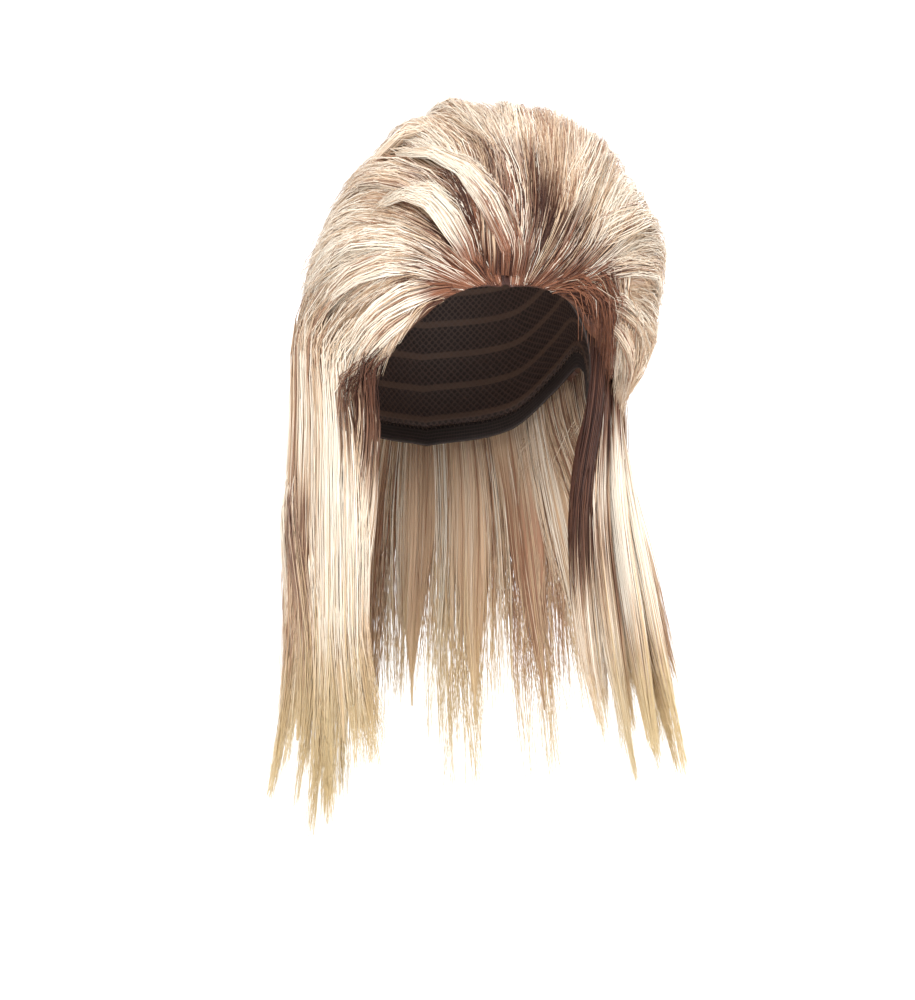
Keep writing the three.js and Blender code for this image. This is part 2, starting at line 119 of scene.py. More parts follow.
def outsideHead(points, offset):
    # Points that lie in the capped head are moved out to the surface round it
    half = np.array([head["halfBreadth"], head["halfLength"], head["halfHeight"]]) + offset
    middle = np.array([0, 0, -head["halfHeight"]])
    reach = np.linalg.norm((points - middle) / half, axis=-1, keepdims=True)
    grown = middle + (points - middle) / np.maximum(reach, 1e-6)
    inside = (reach < 1) & (points[..., 2:] > -fan["capBottom"])
    return np.where(inside, grown, points)


def beyondHem(turn, travel):
    # Degrees by which a place lies past the short hair's lower edge, below zero inside it
    left = np.interp(travel, hem["travel"], hem["left"])
    right = np.interp(travel, hem["travel"], hem["right"])
    return np.maximum(left - turn, turn - right)


# The short hair's outer surface, read from the frame's solids by rays towards the centre
surfaceGrid = {"turns": (-36, 216), "travels": (0, 160), "step": 2, "far": 0.4, "hemMargin": 1.5}


def measureSurface():
    points, faces = [], []
    for name in ("crown_hair", "left_side_hair", "right_side_hair", "back_layers"):
        mesh = nodes[name].data
        first = len(points)
        points += [v.co.copy() for v in mesh.vertices]
        faces += [[first + i for i in p.vertices] for p in mesh.polygons]
    tree = BVHTree.FromPolygons(points, faces)
    step, far = surfaceGrid["step"], surfaceGrid["far"]
    turns = np.arange(surfaceGrid["turns"][0], surfaceGrid["turns"][1] + 1, step)
    travels = np.arange(surfaceGrid["travels"][0], surfaceGrid["travels"][1] + 1, step)
    ways = fanDirection(*np.meshgrid(turns, travels, indexing="ij"))
    grid = np.full(ways.shape[:2], np.nan)
    for i, j in np.ndindex(grid.shape):
        way = Vector(ways[i, j])
        if beyondHem(turns[i], travels[j]) > -surfaceGrid["hemMargin"]:
            continue
        hit = tree.ray_cast(Vector(fan["centre"]) + way * far, -way, far)
        if hit[0] is not None:
            grid[i, j] = far - hit[3]
    for column in grid.T:  # past its edges the surface goes on at its last distance
        known = np.flatnonzero(~np.isnan(column))
        if len(known):
            column[:] = np.interp(np.arange(len(column)), known, column[known])
    known = np.flatnonzero(~np.isnan(grid[0]))
    for row in grid:
        row[:] = np.interp(np.arange(len(row)), known, row[known])
    padded = np.pad(grid, 1, mode="edge")
    around = padded[:-2, 1:-1] + padded[2:, 1:-1] + padded[1:-1, :-2] + padded[1:-1, 2:]
    return 0.5 * grid + 0.125 * around


surface = measureSurface()
print("short hair's surface measured:", surface.shape)


def surfaceDistance(turn, travel):
    step = surfaceGrid["step"]
    u = np.clip((turn - surfaceGrid["turns"][0]) / step, 0, surface.shape[0] - 1.001)
    v = np.clip((travel - surfaceGrid["travels"][0]) / step, 0, surface.shape[1] - 1.001)
    i, j = u.astype(int), v.astype(int)
    a, b = u - i, v - j
    near = surface[i, j] * (1 - a) * (1 - b) + surface[i + 1, j] * a * (1 - b)
    return near + surface[i, j + 1] * (1 - a) * b + surface[i + 1, j + 1] * a * b


# Colour of the short hair. Light locks, pale fibres with painted highlight where the hair
# curves, run along lines of [turn, travel]; dark spots, brown roots with painted shade under
# and beside the locks, are [turn, travel, radius, amount].
shortColour = {
    "paleLocksAndHighlights": [
        [[40, 15], [75, 21], [95, 28], [102, 34], [115, 39]],
        [[131, 16], [113, 21], [117, 26], [122, 32], [133, 40]],
        [[106, 41], [105, 64], [112, 70]],
        [[131, 31], [140, 40], [148, 51]],
        [[151, 22], [151, 35], [156, 49]],
        [[168, 21], [161, 38], [166, 54]],
        [[183, 16], [184, 32], [188, 47], [193, 63]],
        [[28, 19], [43, 30], [58, 44], [57, 59]],
        [[21, 21], [35, 37], [40, 62]],
        [[13, 27], [22, 43], [26, 64]],
        [[2, 28], [3, 44], [10, 63]],
        [[-3, 35], [-10, 52], [-21, 63]],
        [[84, 34], [80, 44], [78, 61]],
        [[136, 48], [146, 60], [160, 76]],
        [[156, 35], [166, 44], [176, 60]],
        [[174, 42], [178, 56], [182, 70]],
        [[166, 54], [170, 66], [174, 80]],
    ],
    "lineWidth": 3.2,
    "brownAndShadeSpots": [
        [66, 27, 8, 1],
        [52, 25, 6, 1],
        [76, 35, 5, 0.9],
        [113, 26, 6, 1],
        [120, 22, 5, 1],
        [116, 33, 4.5, 1],
        [123, 41, 4, 1],
        [138, 27, 5, 0.9],
        [155, 30, 4, 0.7],
        [169, 34, 4, 0.7],
        [40, 33, 4, 0.7],
        [98, 5, 6, 0.6],
        [20, 26, 5, 0.6],
        [0, 38, 7, 0.7],
        [-26, 37, 8, 0.8],
        [194, 68, 7, 0.7],
        [88, 50, 4, 0.5],
    ],
    # Degrees from the hairline over which brown turns blonde, at the temples and over the middle
    "rootBand": (6, 24),
    "middleBand": (13, 40),
    "middle": (94, 30),  # turn of the middle, and its width
    "laterLeft": 18,  # degrees by which the brown goes on further before the left ear
}


def rootBand(turn):
    # Where the band starts and ends at each turn
    atTurn, wide = shortColour["middle"]
    middle = np.exp(-(((turn - atTurn) / wide) ** 2))[..., None]
    band = (1 - middle) * shortColour["rootBand"] + middle * shortColour["middleBand"]
    return np.moveaxis(band, -1, 0)


def contrast(turn, travel):
    # How unlike neighbouring strands are: most at the front and the right, least over the back
    front = 1 - smooth(travel, 34, 66)
    right = 0.66 * smooth(turn, 128, 158) * (1 - smooth(travel, 90, 120))
    return 0.34 + 0.66 * np.maximum(front, right)


def angularGap(turn, travel, otherTurn, otherTravel):
    across = (turn - otherTurn) * np.sin(np.radians(np.maximum(travel, 8)))
    return np.hypot(across, travel - otherTravel)


# Pale fibres along the light lines, partly painted highlight where the hair curves
def paleAndHighlight(turn, travel):
    best = np.full(turn.shape, 99.0)
    for line in shortColour["paleLocksAndHighlights"]:
        for spot in curveThrough(line, np.linspace(0, 1, 14)):
            best = np.minimum(best, angularGap(turn, travel, *spot))
    return np.exp(-((best / shortColour["lineWidth"]) ** 2))


# Brown roots together with painted shade under and beside the locks, from 0 to 1
def brownAndShade(turn, travel):
    total = np.zeros(turn.shape)
    for atTurn, atTravel, radius, amount in shortColour["brownAndShadeSpots"]:
        gap = angularGap(turn, travel, atTurn, atTravel)
        total = np.maximum(total, amount * np.exp(-((gap / radius) ** 2)))
    return total


def hairlineRise(turn, travel):
    # The mass under the strands thins out to the hairline
    return 0.2 + 0.8 * smooth(edgeDistance(turn, travel), -1, 8)


# The hair rolls in towards the left hem, and lies flatter where it runs on at the right
tuck = {"left": 6 * mm, "right": 9.5 * mm}


def hemTuck(turn, travel):
    left = tuck["left"] * smooth(beyondHem(turn, travel), -11, 3)
    left = left * smooth(-turn, -30, 0) * smooth(travel, 40, 60)
    right = tuck["right"] * smooth(turn, 150, 178) * smooth(travel, 26, 56)
    return left + right


# Lumps of the teased hair over the wearer's left temple: [turn, travel, radius, mm]
puffs = [[25, 70, 11, 4], [3, 74, 7, 4], [-11, 72, 5, 2], [14, 72, 5, -3], [48, 66, 7, 2]]


def puffLift(turn, travel):
    total = np.zeros(turn.shape)
    for atTurn, atTravel, radius, height in puffs:
        gap = angularGap(turn, travel, atTurn, atTravel)
        total = total + height * mm * np.exp(-((gap / radius) ** 2))
    return total


def shellLift(depth):
    # How far the teased mass under the strands stands off the cap, where the hair is so deep
    return np.maximum(0.4 * depth, depth - 5 * mm)


def placeOf(points):
    # Turn and travel of points, and their distance from the fan's centre
    tilt = math.radians(fan["tilt"])
    back = np.array([0, math.cos(tilt), -math.sin(tilt)])
    up = np.array([0, math.sin(tilt), math.cos(tilt)])
    way = points - fan["centre"]
    distance = np.linalg.norm(way, axis=-1)
    travel = np.degrees(np.arccos(np.clip(-(way @ back) / distance, -1, 1)))
    turn = (np.degrees(np.arctan2(way @ up, way[..., 0])) + 90) % 360 - 90
    return turn, travel, distance


# Past the short hair's edges the strands that lie over it sink back to their own place
letGo = {"sink": 34 * mm, "past": (-2, 26)}


def overShort(points, lift):
    # Points in the short hair are moved out to its surface
    turn, travel, distance = placeOf(points)
    past = np.maximum(beyondHem(turn, travel), travel - fan["nape"])
    least = surfaceDistance(turn, travel) - hemTuck(turn, travel) + lift
    least = least - letGo["sink"] * smooth(past, *letGo["past"])
    return fan["centre"] + (points - fan["centre"]) * np.maximum(1, least / distance)[..., None]


def domePoint(turn, travel, lift):
    way = fanDirection(turn, travel)
    distance = surfaceDistance(turn, travel) + lift
    least = headDistance(way, fan["capOuter"] + 0.4 * mm)
    return fan["centre"] + way * np.maximum(distance, least)[..., None]


# A bundle of strands is a dictionary: points (strand, step, xyz), radius and shade
# (strand, step), and tone (strand). Tone goes from ash through blonde to ivory, and shade from
# the brown root, 0, to full colour, 0.5, and the beige of long tips, 1.
def bundle(points, radius, tone, shade):
    return {"points": points, "radius": radius, "tone": np.clip(tone, 0, 1), "shade": shade}


def resampled(values, ends, steps, starts=0, bunching=1):
    # Each row of values, read again from its share starts to its share ends. bunching above 1
    # brings the steps closer together at the start.
    count, fine = values.shape[:2]
    starts, bunching = (np.broadcast_to(v, ends.shape)[:, None] for v in (starts, bunching))
    at = (starts + (ends[:, None] - starts) * np.linspace(0, 1, steps) ** bunching) * (fine - 1)
    k = np.clip(at.astype(int), 0, fine - 2)
    s = at - k
    rows = np.arange(count)[:, None]
    if values.ndim == 3:
        s = s[..., None]
    return values[rows, k] * (1 - s) + values[rows, k + 1] * s


def fibreRadius(rng, count, steps, thickness):
    t = np.linspace(0, 1, steps)
    along = (0.7 + 0.3 * smooth(t, 0, 0.12)) * (1 - 0.72 * smooth(t, 0.62, 1))
    return thickness * rng.uniform(0.72, 1.25, count)[:, None] * along


sweep = {
    "steps": 6,
    "thickness": 0.31 * mm,
    "length": (30, 60),  # degrees of travel
    "pull": (0.3, 0.9),  # how far a clump's strands close up to its tip
    "halfWidth": 6 * mm,
    "round": 2.6 * mm,  # how far a clump's edges lie below its middle
    "flyaway": 0.035,
    "teased": 0.16,  # share of fibres that cross the others
    "earlyLight": 0.24,  # share of fibres that turn blonde close to the root
    "lowlights": 0.32,  # share of darker fibres
    "lowTone": 0.42,
    "tone": 0.6,
    "clumpTone": 0.24,  # how unlike clumps are, and single fibres
    "fibreTone": 0.17,
    # Degrees that strands reach past the hem on each side, by travel, and past the nape
    "overTravel": [0, 15, 25, 33, 45, 60, 75, 100],
    "leftOver": [1, 3, 12, 20, 16, 8, 4, 10],
    "rightOver": [2, 2, 3, 4, 6, 9, 18, 24],
    "napeOver": 20,
}


# How much the hair turns for each degree that it travels, by turn. It is combed to the
# wearer's right over the crown, and sinks at both hems.
comb = {
    "turn": [-14, -2, 8, 20, 34, 50, 72, 95, 112, 130, 146, 160, 174, 196],
    "slant": [-0.5, -0.4, -0.15, 0.2, 0.42, 0.42, 0.28, 0.25, 0.36, 0.5, 0.4, 0.3, 0.42, 0.5],
    "until": (34, 62),  # travels over which the combing dies out, but not the sinking
    "droop": 0.016,  # growing fall on the right side, past the ear
    "base": 9,  # half the line that the strands spread from, in degrees
    "below": 3,  # and how far it lies below the hairline
}


def combSlant(turn, travel):
    fading = 1 - smooth(travel, *comb["until"])
    atHem = np.maximum(smooth(-turn, -6, 4), smooth(turn, 164, 178))
    slant = np.interp(turn, comb["turn"], comb["slant"]) * np.maximum(fading, atHem)
    droop = comb["droop"] * np.maximum(travel - 42, 0) * smooth(turn, 150, 182)
    return slant + droop


def combedTurns(turn, travel):
    # Turns along the strands, which start at turn and pass through travel (strand, step)
    turns = [turn]
    for k in range(1, travel.shape[1]):
        ahead = combSlant(turns[-1], travel[:, k - 1]) * (travel[:, k] - travel[:, k - 1])
        turns.append(turns[-1] + ahead)
    return np.stack(turns, 1)


def fromBase(turn, travel):
    # The strands spread from a short line along the hairline, not from the fan's own pole
    f = np.radians(turn)
    fading = 1 - smooth(travel, 12, 62)
    x = (travel + comb["base"] * fading) * np.cos(f)
    y = travel * np.sin(f) - comb["below"] * fading * np.sin(f)
    return (np.degrees(np.arctan2(y, x)) + 90) % 360 - 90, np.hypot(x, y)


def edgeDistance(turn, travel):
    # Degrees from the hairline, over the forehead and down the front of each temple
    atFront = -beyondHem(turn, travel) * np.sin(np.radians(travel))
    later = shortColour["laterLeft"] * (1 - smooth(turn, 60, 120))
    return np.minimum(travel - 1.5, atFront + 60 * smooth(travel - later, 22, 50))


def hairlineStart(turn):
    # The travel and turn at which the hair combed along each turn first comes over the hairline
    travel = np.tile(np.linspace(1, 70, 140), (len(turn), 1))
    turns = combedTurns(turn, travel)
    atTurn, atTravel = fromBase(turns, travel)
    inside = (beyondHem(atTurn, atTravel) < -0.4) & (atTravel > 1.8)
    first = inside.argmax(1)
    rows = np.arange(len(turn))
    return turns[rows, first], travel[rows, first], inside.any(1)


# Strands that hang past a hem draw in by a share of their fall, down to a depth
hang = {"inward": 0.16, "until": 45 * mm}


def hangingPoint(turn, travel, lift):
    # Point on the dome, or past a hem a point that hangs straight down from it
    over = np.maximum(beyondHem(turn, travel), 0)
    past = np.maximum(travel - fan["nape"], 0)
    held = np.where(turn < 90, turn + over, turn - over)
    heldTravel = np.minimum(travel, fan["nape"])
    points = domePoint(held, heldTravel, lift)
    fallen = np.radians(np.hypot(over, past)) * surfaceDistance(held, heldTravel)
    away = points * np.array([1, 1, 0])
    points = points - unit(away) * (hang["inward"] * np.minimum(fallen, hang["until"]))[..., None]
    points[..., 2] -= fallen
    return points


noFall = {"length": sweep["length"], "swing": 0, "back": 0, "extra": 0}


def sweptStrands(rng, centres, each, hairline, fall=noFall):
    # Clumps of strands over the dome. Each centre is a clump's root, [turn, travel]. A fall
    # turns the strands down as they go, to hang over the long hair.
    clumps = len(centres)
    clump = np.repeat(np.arange(clumps), each)
    count = len(clump)

    def shared(low, high):
        return rng.uniform(low, high, clumps)[clump]

    t = np.linspace(0, 1, 24)
    rootTurn, rootTravel = centres[clump, 0], centres[clump, 1]
    length = shared(*fall["length"]) * rng.uniform(0.78, 1.1, count)
    if hairline:
        rootTurn = rootTurn + rng.uniform(-2.4, 2.4, count)
        rootTurn, rootTravel, found = hairlineStart(rootTurn)
        start = rootTravel + 13 * rng.uniform(0, 1, count) ** 1.5
        halfWidth = np.full(count, 1.2)
    else:
        start = rootTravel + rng.normal(0, 2.4, count)
        around = fan["reach"] * np.sin(np.radians(np.maximum(rootTravel, 12)))
        halfWidth = np.degrees(sweep["halfWidth"] / around)
    offset = rng.uniform(-1, 1, count) * halfWidth
    droops = smooth(rootTurn, 150, 178) * smooth(rootTravel + length, 50, 80)
    length = length * (1 + 0.35 * droops * rng.uniform(0, 1, count))
    travel = start[:, None] + length[:, None] * t
    closing = 1 - shared(*sweep["pull"])[:, None] * t**1.5
    sway = shared(0, 6.3)[:, None] + 4.5 * t
    lean = shared(-3.4, 3.4)[:, None] * t**1.4
    teased = np.where(rng.uniform(0, 1, count) < sweep["teased"], 3.4, 1.0)
    stray = (teased * rng.normal(0, 1.1, count))[:, None] * t**1.4
    widen = 1 / np.sin(np.radians(np.clip(travel, 16, 164)))
    pace = rng.uniform(5, 12, count)[:, None]
    frizz = 0.26 * np.sin(rng.uniform(0, 6.3, count)[:, None] + pace * t) * t
    swing = (lean + stray + 0.8 * np.sin(sway) + frizz) * widen
    turn = combedTurns(rootTurn, travel) + offset[:, None] * closing + swing
    down = np.where(rootTurn > 90, 1, -1)[:, None]
    turn = turn + down * fall["swing"] * t**1.8
    travel = travel - fall["back"] * t**2.4
    turn, travel = fromBase(turn, travel)

    layer = rng.uniform(-4.2, 0.2, count) * mm
    tip = shared(-0.8, 1.8) * mm + rng.normal(0, 0.6, count) * mm
    loose = rng.uniform(0, 1, count) < sweep["flyaway"]
    tip = np.where(loose, rng.uniform(3, 8, count) * mm, tip)
    rounding = sweep["round"] * (offset / halfWidth) ** 2
    lift = layer[:, None] + (tip - layer)[:, None] * smooth(t, 0.35, 1)
    lift = lift - rounding[:, None] * closing**2 - hemTuck(turn, travel) + puffLift(turn, travel)
    way = fanDirection(turn, travel)
    depth = surfaceDistance(turn, travel) - headDistance(way, fan["capOuter"])
    if hairline:
        rooted = smooth(t, 0.02, 0.4)
        thin = shellLift(np.maximum(depth, 0)) * hairlineRise(turn, travel)
        buried = depth - thin - rng.uniform(0, 1, count)[:, None] * mm
        lift = np.maximum(lift * rooted - buried * (1 - rooted), -buried)
    else:
        lift = lift - rng.uniform(3, 6.5, count)[:, None] * mm * (1 - smooth(t, 0, 0.4))

    # Ends: at the hem and the nape, further for some
    nearRight = smooth(turn, 80, 100)
    leftMost = np.interp(travel, sweep["overTravel"], sweep["leftOver"])
    rightMost = np.interp(travel, sweep["overTravel"], sweep["rightOver"]) + fall["extra"]
    reachPast = 0.06 + 0.94 * rng.uniform(0, 1, count)[:, None] ** (0.9 if fall["swing"] else 1.4)
    over = beyondHem(turn, travel) > reachPast * (leftMost + (rightMost - leftMost) * nearRight)
    over |= travel > fan["nape"] + sweep["napeOver"] * rng.uniform(0, 1, count)[:, None] ** 1.8
    first = np.where(over.any(1), over.argmax(1), len(t) - 1)
    ends = np.maximum(first, 1) / (len(t) - 1)
    keep = (ends * length > 9) & (found if hairline else beyondHem(turn[:, 0], travel[:, 0]) < -0.5)

    points = hangingPoint(turn, travel, lift)
    middleTurn, middleTravel = turn.mean(1), travel[:, 8]
    # Pale locks and painted highlight from the light lines
    light = paleAndHighlight(middleTurn, middleTravel)
    dark = brownAndShade(turn, travel)
    unlike = contrast(middleTurn, middleTravel)
    low = rng.uniform(0, 1, count) < sweep["lowlights"] * unlike
    own = shared(-sweep["clumpTone"], sweep["clumpTone"]) + rng.normal(0, sweep["fibreTone"], count)
    # Painted light: the tone rises towards the wearer's right, where the hair would otherwise render in shade
    tone = sweep["tone"] + 0.1 * smooth(middleTurn, 115, 150) + 0.38 * light + unlike * own
    tone = np.where(low, tone - sweep["lowTone"], tone)
    start, end = rootBand(turn)
    past = edgeDistance(turn, travel)
    early = rng.uniform(0, 1, count) < sweep["earlyLight"]
    onset = shared(-6, 6) + rng.normal(0, 5, count) + np.where(low, 16, 0) * unlike - 16 * early
    shade = 0.5 * smooth(past, start + 0.5 * onset[:, None], end + onset[:, None])
    # Painted shade with brown roots: fibres are coloured browner where they pass the spots under and beside the
    # locks
    shade = shade * (1 - dark * np.where(early, 0.2, 1)[:, None])
    if not hairline:
        young = 0.5 - 0.4 * unlike[:, None]
        shade = np.minimum(shade, young + (0.5 - young) * smooth(t, 0.02, 0.34))
    steps = sweep["steps"]
    thickness = sweep["thickness"] * (0.8 if hairline else 1)
    radius = fibreRadius(rng, count, steps, thickness)
    # The same spots also lower the tone: painted shade with brown roots
    toneAlong = tone[:, None] - 0.6 * dark * np.where(early, 0.3, 1)[:, None]
    made = [resampled(values, ends, steps)[keep] for values in (points, shade, toneAlong)]
    strands = bundle(made[0], radius[keep], tone[keep], made[1])
    strands["toneAlong"] = np.clip(made[2], 0, 1)
    return strands


def evenCentres(rng, turns, travels, spacing):
    rows = []
    for travel in np.arange(travels[0] + spacing / 2, travels[1], spacing):
        span = turns[1] - turns[0]
        wide = max(1, round(span * math.sin(math.radians(max(travel, 8))) / spacing))
        across = (np.arange(wide) + 0.5 + 0.4 * rng.uniform(-1, 1, wide)) / wide
        along = travel + 0.45 * spacing * rng.uniform(-1, 1, wide)
        rows.append(np.stack([turns[0] + span * across, along], 1))
    centres = np.concatenate(rows)
    return centres[beyondHem(*centres.T) < -0.5]


def hairlineCentres(rng, turns, spacing):
    turn = np.arange(turns[0], turns[1], spacing)
    turn = turn + spacing * rng.uniform(-0.3, 0.3, len(turn))
    return np.stack([turn, np.zeros(len(turn))], 1)


def sectionStrands(rng, centre, across, out, count, look):
    # Strands of one lock round its centre line. centre, across and out are (fine, xyz).
    fine = len(centre)
    t = np.linspace(0, 1, fine)
    groups = look["groups"]
    angle = rng.uniform(0, 2 * np.pi, count)
    reach = np.sqrt(rng.uniform(look["inner"] ** 2, 1, count))
    side, depth = reach * np.cos(angle), reach * np.sin(angle)
    groupSide = np.linspace(-0.8, 0.8, groups) + rng.uniform(-0.12, 0.12, groups)
    group = np.abs(side[:, None] + rng.normal(0, 0.16, count)[:, None] - groupSide).argmin(1)
    groupDepth = rng.uniform(-0.5, 0.7, groups)
    close = look["close"] * smooth(t, look["closeFrom"], 1)
    x = side[:, None] * (1 - close) + groupSide[group][:, None] * close
    z = depth[:, None] * (1 - close) + groupDepth[group][:, None] * close
    swell = look["root"] + (1 - look["root"]) * smooth(t, 0, look["swell"])
    thinned = look["taper"] * (np.maximum(0, t - look["slack"]) / (1 - look["slack"])) ** 1.4
    taper = swell * (1 - thinned)
    phase = rng.uniform(0, 6.3, groups)[group][:, None]
    pace = rng.uniform(2.5, 5, groups)[group][:, None]
    wave = look["wave"] * np.sin(phase + pace * t) * smooth(t, 0.1, 0.6)
    phase = rng.uniform(0, 6.3, count)[:, None]
    pace = rng.uniform(4, 9, count)[:, None]
    own = look["wave"] * 0.35 * np.sin(phase + pace * t)
    wild = np.where(rng.uniform(0, 1, count) < 0.14, 3.0, 1.0) * rng.normal(0, 1, count)
    spread = look["spread"] * wild[:, None] * smooth(t, 0.5, 1.1) ** 1.5
    own = own * (1 + 1.4 * smooth(t, 0.66, 1))
    drift = look["drift"] * rng.normal(0, 1, count)[:, None] * smooth(t, 0.08, 1)
    wide = look["width"] / 2 * taper * x + wave + own + spread + drift
    deep = look["thickness"] / 2 * np.sqrt(taper) * z + 0.5 * own
    points = centre + across * wide[..., None] + out * deep[..., None]
    groupEnd = rng.uniform(look["shortest"], 1, groups)
    ends = groupEnd[group] * (1 - rng.uniform(0, 1, count) ** 2.2 * look["ragged"])
    ends = np.clip(ends + rng.normal(0, 0.012, count), 0.3, 1)
    tones = look["groupTone"] * rng.normal(0, 1, groups)[group] + rng.normal(0, 0.11, count)
    tones = tones - np.where(rng.uniform(0, 1, count) < look["lowlights"], look["lowTone"], 0)
    return points, ends, tones


# Locks that stand proud of the short hair. width is a share of 42 mm.
lockSize = {"width": 42 * mm, "thickness": 14 * mm}
crownLocks = [
    {"width": 0.88, "turns": [46, 75, 91, 99, 105, 113, 119],
     "travels": [10, 15, 22, 28, 34, 41, 51], "tone": 1.08, "proud": 4, "strands": 370,
     "look": {"root": 0.5, "close": 0.35, "taper": 0.86, "ragged": 0.42}},
    {"width": 0.75, "turns": [139, 125, 124, 128, 133, 140], "travels": [12, 19, 27, 34, 41, 48], "tone": 1.04,
     "proud": 3.5, "strands": 270, "look": {"root": 0.35, "close": 0.35, "ragged": 0.36}},
    {"width": 0.8, "turns": [90, 88, 92, 98, 104], "travels": [5, 12, 19, 26, 33], "tone": 0.66,
     "proud": 1.6, "strands": 190, "look": {"root": 0.8, "lowlights": 0.4, "taper": 0.5}},
    {"width": 0.55, "turns": [100, 108, 117, 126], "travels": [46, 52, 60, 74], "tone": 0.85},
    {"width": 0.45, "turns": [122, 126, 129, 128], "travels": [26, 38, 52, 70], "tone": 0.8},
    {"width": 0.6, "turns": [74, 80, 80, 78], "travels": [24, 38, 54, 76], "tone": 0.82},
    {"width": 0.5, "turns": [53, 53, 56, 56], "travels": [24, 38, 56, 78], "tone": 0.8},
    {"width": 0.5, "turns": [94, 93, 93, 94], "travels": [46, 58, 74, 94], "tone": 0.7},
]
leftSideLocks = [
    {"width": 0.55, "turns": [30, 32, 33, 31], "travels": [24, 40, 58, 82], "tone": 0.84},
    {"width": 0.55, "turns": [17, 19, 19, 15], "travels": [26, 44, 62, 84], "tone": 0.8},
    {"width": 0.5, "turns": [7, 5, 2, -4], "travels": [26, 42, 60, 84], "tone": 0.82},
    {"width": 0.5, "turns": [0, -4, -10, -18], "travels": [34, 48, 64, 82], "tone": 0.78},
]
rightSideLocks = [
    {"width": 0.5, "turns": [146, 148, 151, 156], "travels": [20, 36, 54, 76], "tone": 0.85},
    {"width": 0.55, "turns": [158, 160, 165, 172], "travels": [20, 38, 56, 78], "tone": 0.8},
    {"width": 0.5, "turns": [171, 178, 185, 192], "travels": [17, 32, 48, 66], "tone": 0.85},
    {"width": 0.45, "turns": [184, 189, 195, 200], "travels": [30, 42, 54, 66], "tone": 0.75},
]
surfaceLock = {
    "strands": 150,
    "root": 0.15,
    "swell": 0.3,
    "groups": 4,
    "inner": 0.35,
    "close": 0.55,
    "closeFrom": 0.45,
    "slack": 0.35,
    "taper": 0.8,
    "wave": 0.8 * mm,
    "spread": 0.7 * mm,
    "shortest": 0.86,
    "ragged": 0.3,
    "drift": 0.9 * mm,
    "groupTone": 0.09,
    "lowlights": 0.2,
    "lowTone": 0.6,
}


def surfaceLockStrands(rng, lock):
    t = np.linspace(0, 1, 24)
    places = np.array([lock["turns"], lock["travels"]], float).T
    lifts = np.interp(np.linspace(0, 1, len(places)), [0, 0.25, 0.8, 1], [-11, -4, -2.4, -4.6]) * mm
    lifts = lifts + lock.get("proud", 0) * mm
    marks = domePoint(places[:, 0], places[:, 1], lifts)
    centre = curveThrough(marks, t)
    along = unit(np.gradient(centre, axis=0))
    out = unit(centre - fan["centre"])
    out = unit(out - along * (out * along).sum(-1, keepdims=True))
    across = np.cross(along, out)
    look = {**surfaceLock, "width": lock["width"] * lockSize["width"]}
    look["thickness"] = 0.65 * lockSize["thickness"]
    look.update(lock.get("look", {}))
    count = lock.get("strands", surfaceLock["strands"])
    points, ends, tones = sectionStrands(rng, centre, across, out, count, look)
    turnTravel = curveThrough(places, t)
    past = edgeDistance(turnTravel[:, 0], turnTravel[:, 1])
    low, high = shortColour["rootBand"]
    onset = rng.normal(0, 5, count)[:, None]
    shade = 0.5 * smooth(past, low + onset, high + onset)
    shade = shade * smooth(t, 0.02, 0.26 + 0.012 * onset)
    # Locks that are not proud are coloured browner beside the proud ones: brown roots and painted shade
    if "proud" not in lock:
        shade = shade * (1 - 0.9 * brownAndShade(turnTravel[:, 0], turnTravel[:, 1]))
    steps = sweep["steps"]
    radius = fibreRadius(rng, count, steps, sweep["thickness"])
    return bundle(
        resampled(points, ends, steps), radius, lock["tone"] + tones, resampled(shade, ends, steps)
    )


# Locks of the long hair, front to back. x and y are shares of half the head's breadth and
# length at the root, jaw, shoulder and tip. tip is a share of longDrop. Each lock's colours are
# rows of [drop in mm, tone, shade].
longHair = {
    "drop": 392 * mm,
    "sideRoot": 92 * mm,
    "backRoot": 70 * mm,
    "jaw": 0.46,
    "shoulder": 0.7,
    "steps": 9,
    "thickness": 0.33 * mm,
    # Part of a lock with a start grows over the short hair, from that turn and travel
    "over": 0.42,
    "overRoot": 0.5,
    "overGroups": 2,
    "stagger": 0.24,
    "rise": 0.16,
    "sunk": 4,  # mm that its roots lie below the short hair
    "lead": [0, 14],  # degrees of turn and travel from its first mark to its start
    "early": 0.13,  # share of strands that change colour earlier, and by how many mm
    "earlier": (15, 70),
}
longLook = {
    "root": 0.7,
    "swell": 0.5,
    "groups": 3,
    "inner": 0.35,
    "close": 0.84,
    "closeFrom": 0.6,
    "slack": 0.45,
    "taper": 0.3,
    "wave": 2.6 * mm,
    "drift": 2.6 * mm,
    "spread": 2.8 * mm,
    "shortest": 0.78,
    "ragged": 0.42,
    "groupTone": 0.12,
    "lowlights": 0.14,
    "lowTone": 0.4,
}
# Tones above 1, in the second and the ivory rows, paint a highlight where the light falls on the curtains, over the
# ivory of the fibres
innerRight = [[104, 0.3, 0.02], [165, 0.4, 0.12], [185, 0.75, 0.42], [224, 0.6, 0.5], [300, 0.6, 0.75],
              [380, 0.6, 1]]
secondRight = [[100, 0.35, 0.04], [136, 0.45, 0.14], [160, 0.95, 0.46], [200, 1.1, 0.5], [252, 1, 0.5], [285, 0.65, 0.7],
               [390, 0.6, 1]]
ivoryAndHighlightFall = [[50, 0.68, 0.45], [104, 0.78, 0.46], [125, 1.08, 0.5], [200, 1.14, 0.5], [252, 1.08, 0.5],
             [280, 0.7, 0.66], [390, 0.6, 1]]
ashFall = [[50, 0.62, 0.42], [110, 0.85, 0.47], [168, 0.9, 0.48], [188, 0.3, 0.22], [240, 0.3, 0.2],
           [266, 0.5, 0.6], [380, 0.55, 1]]
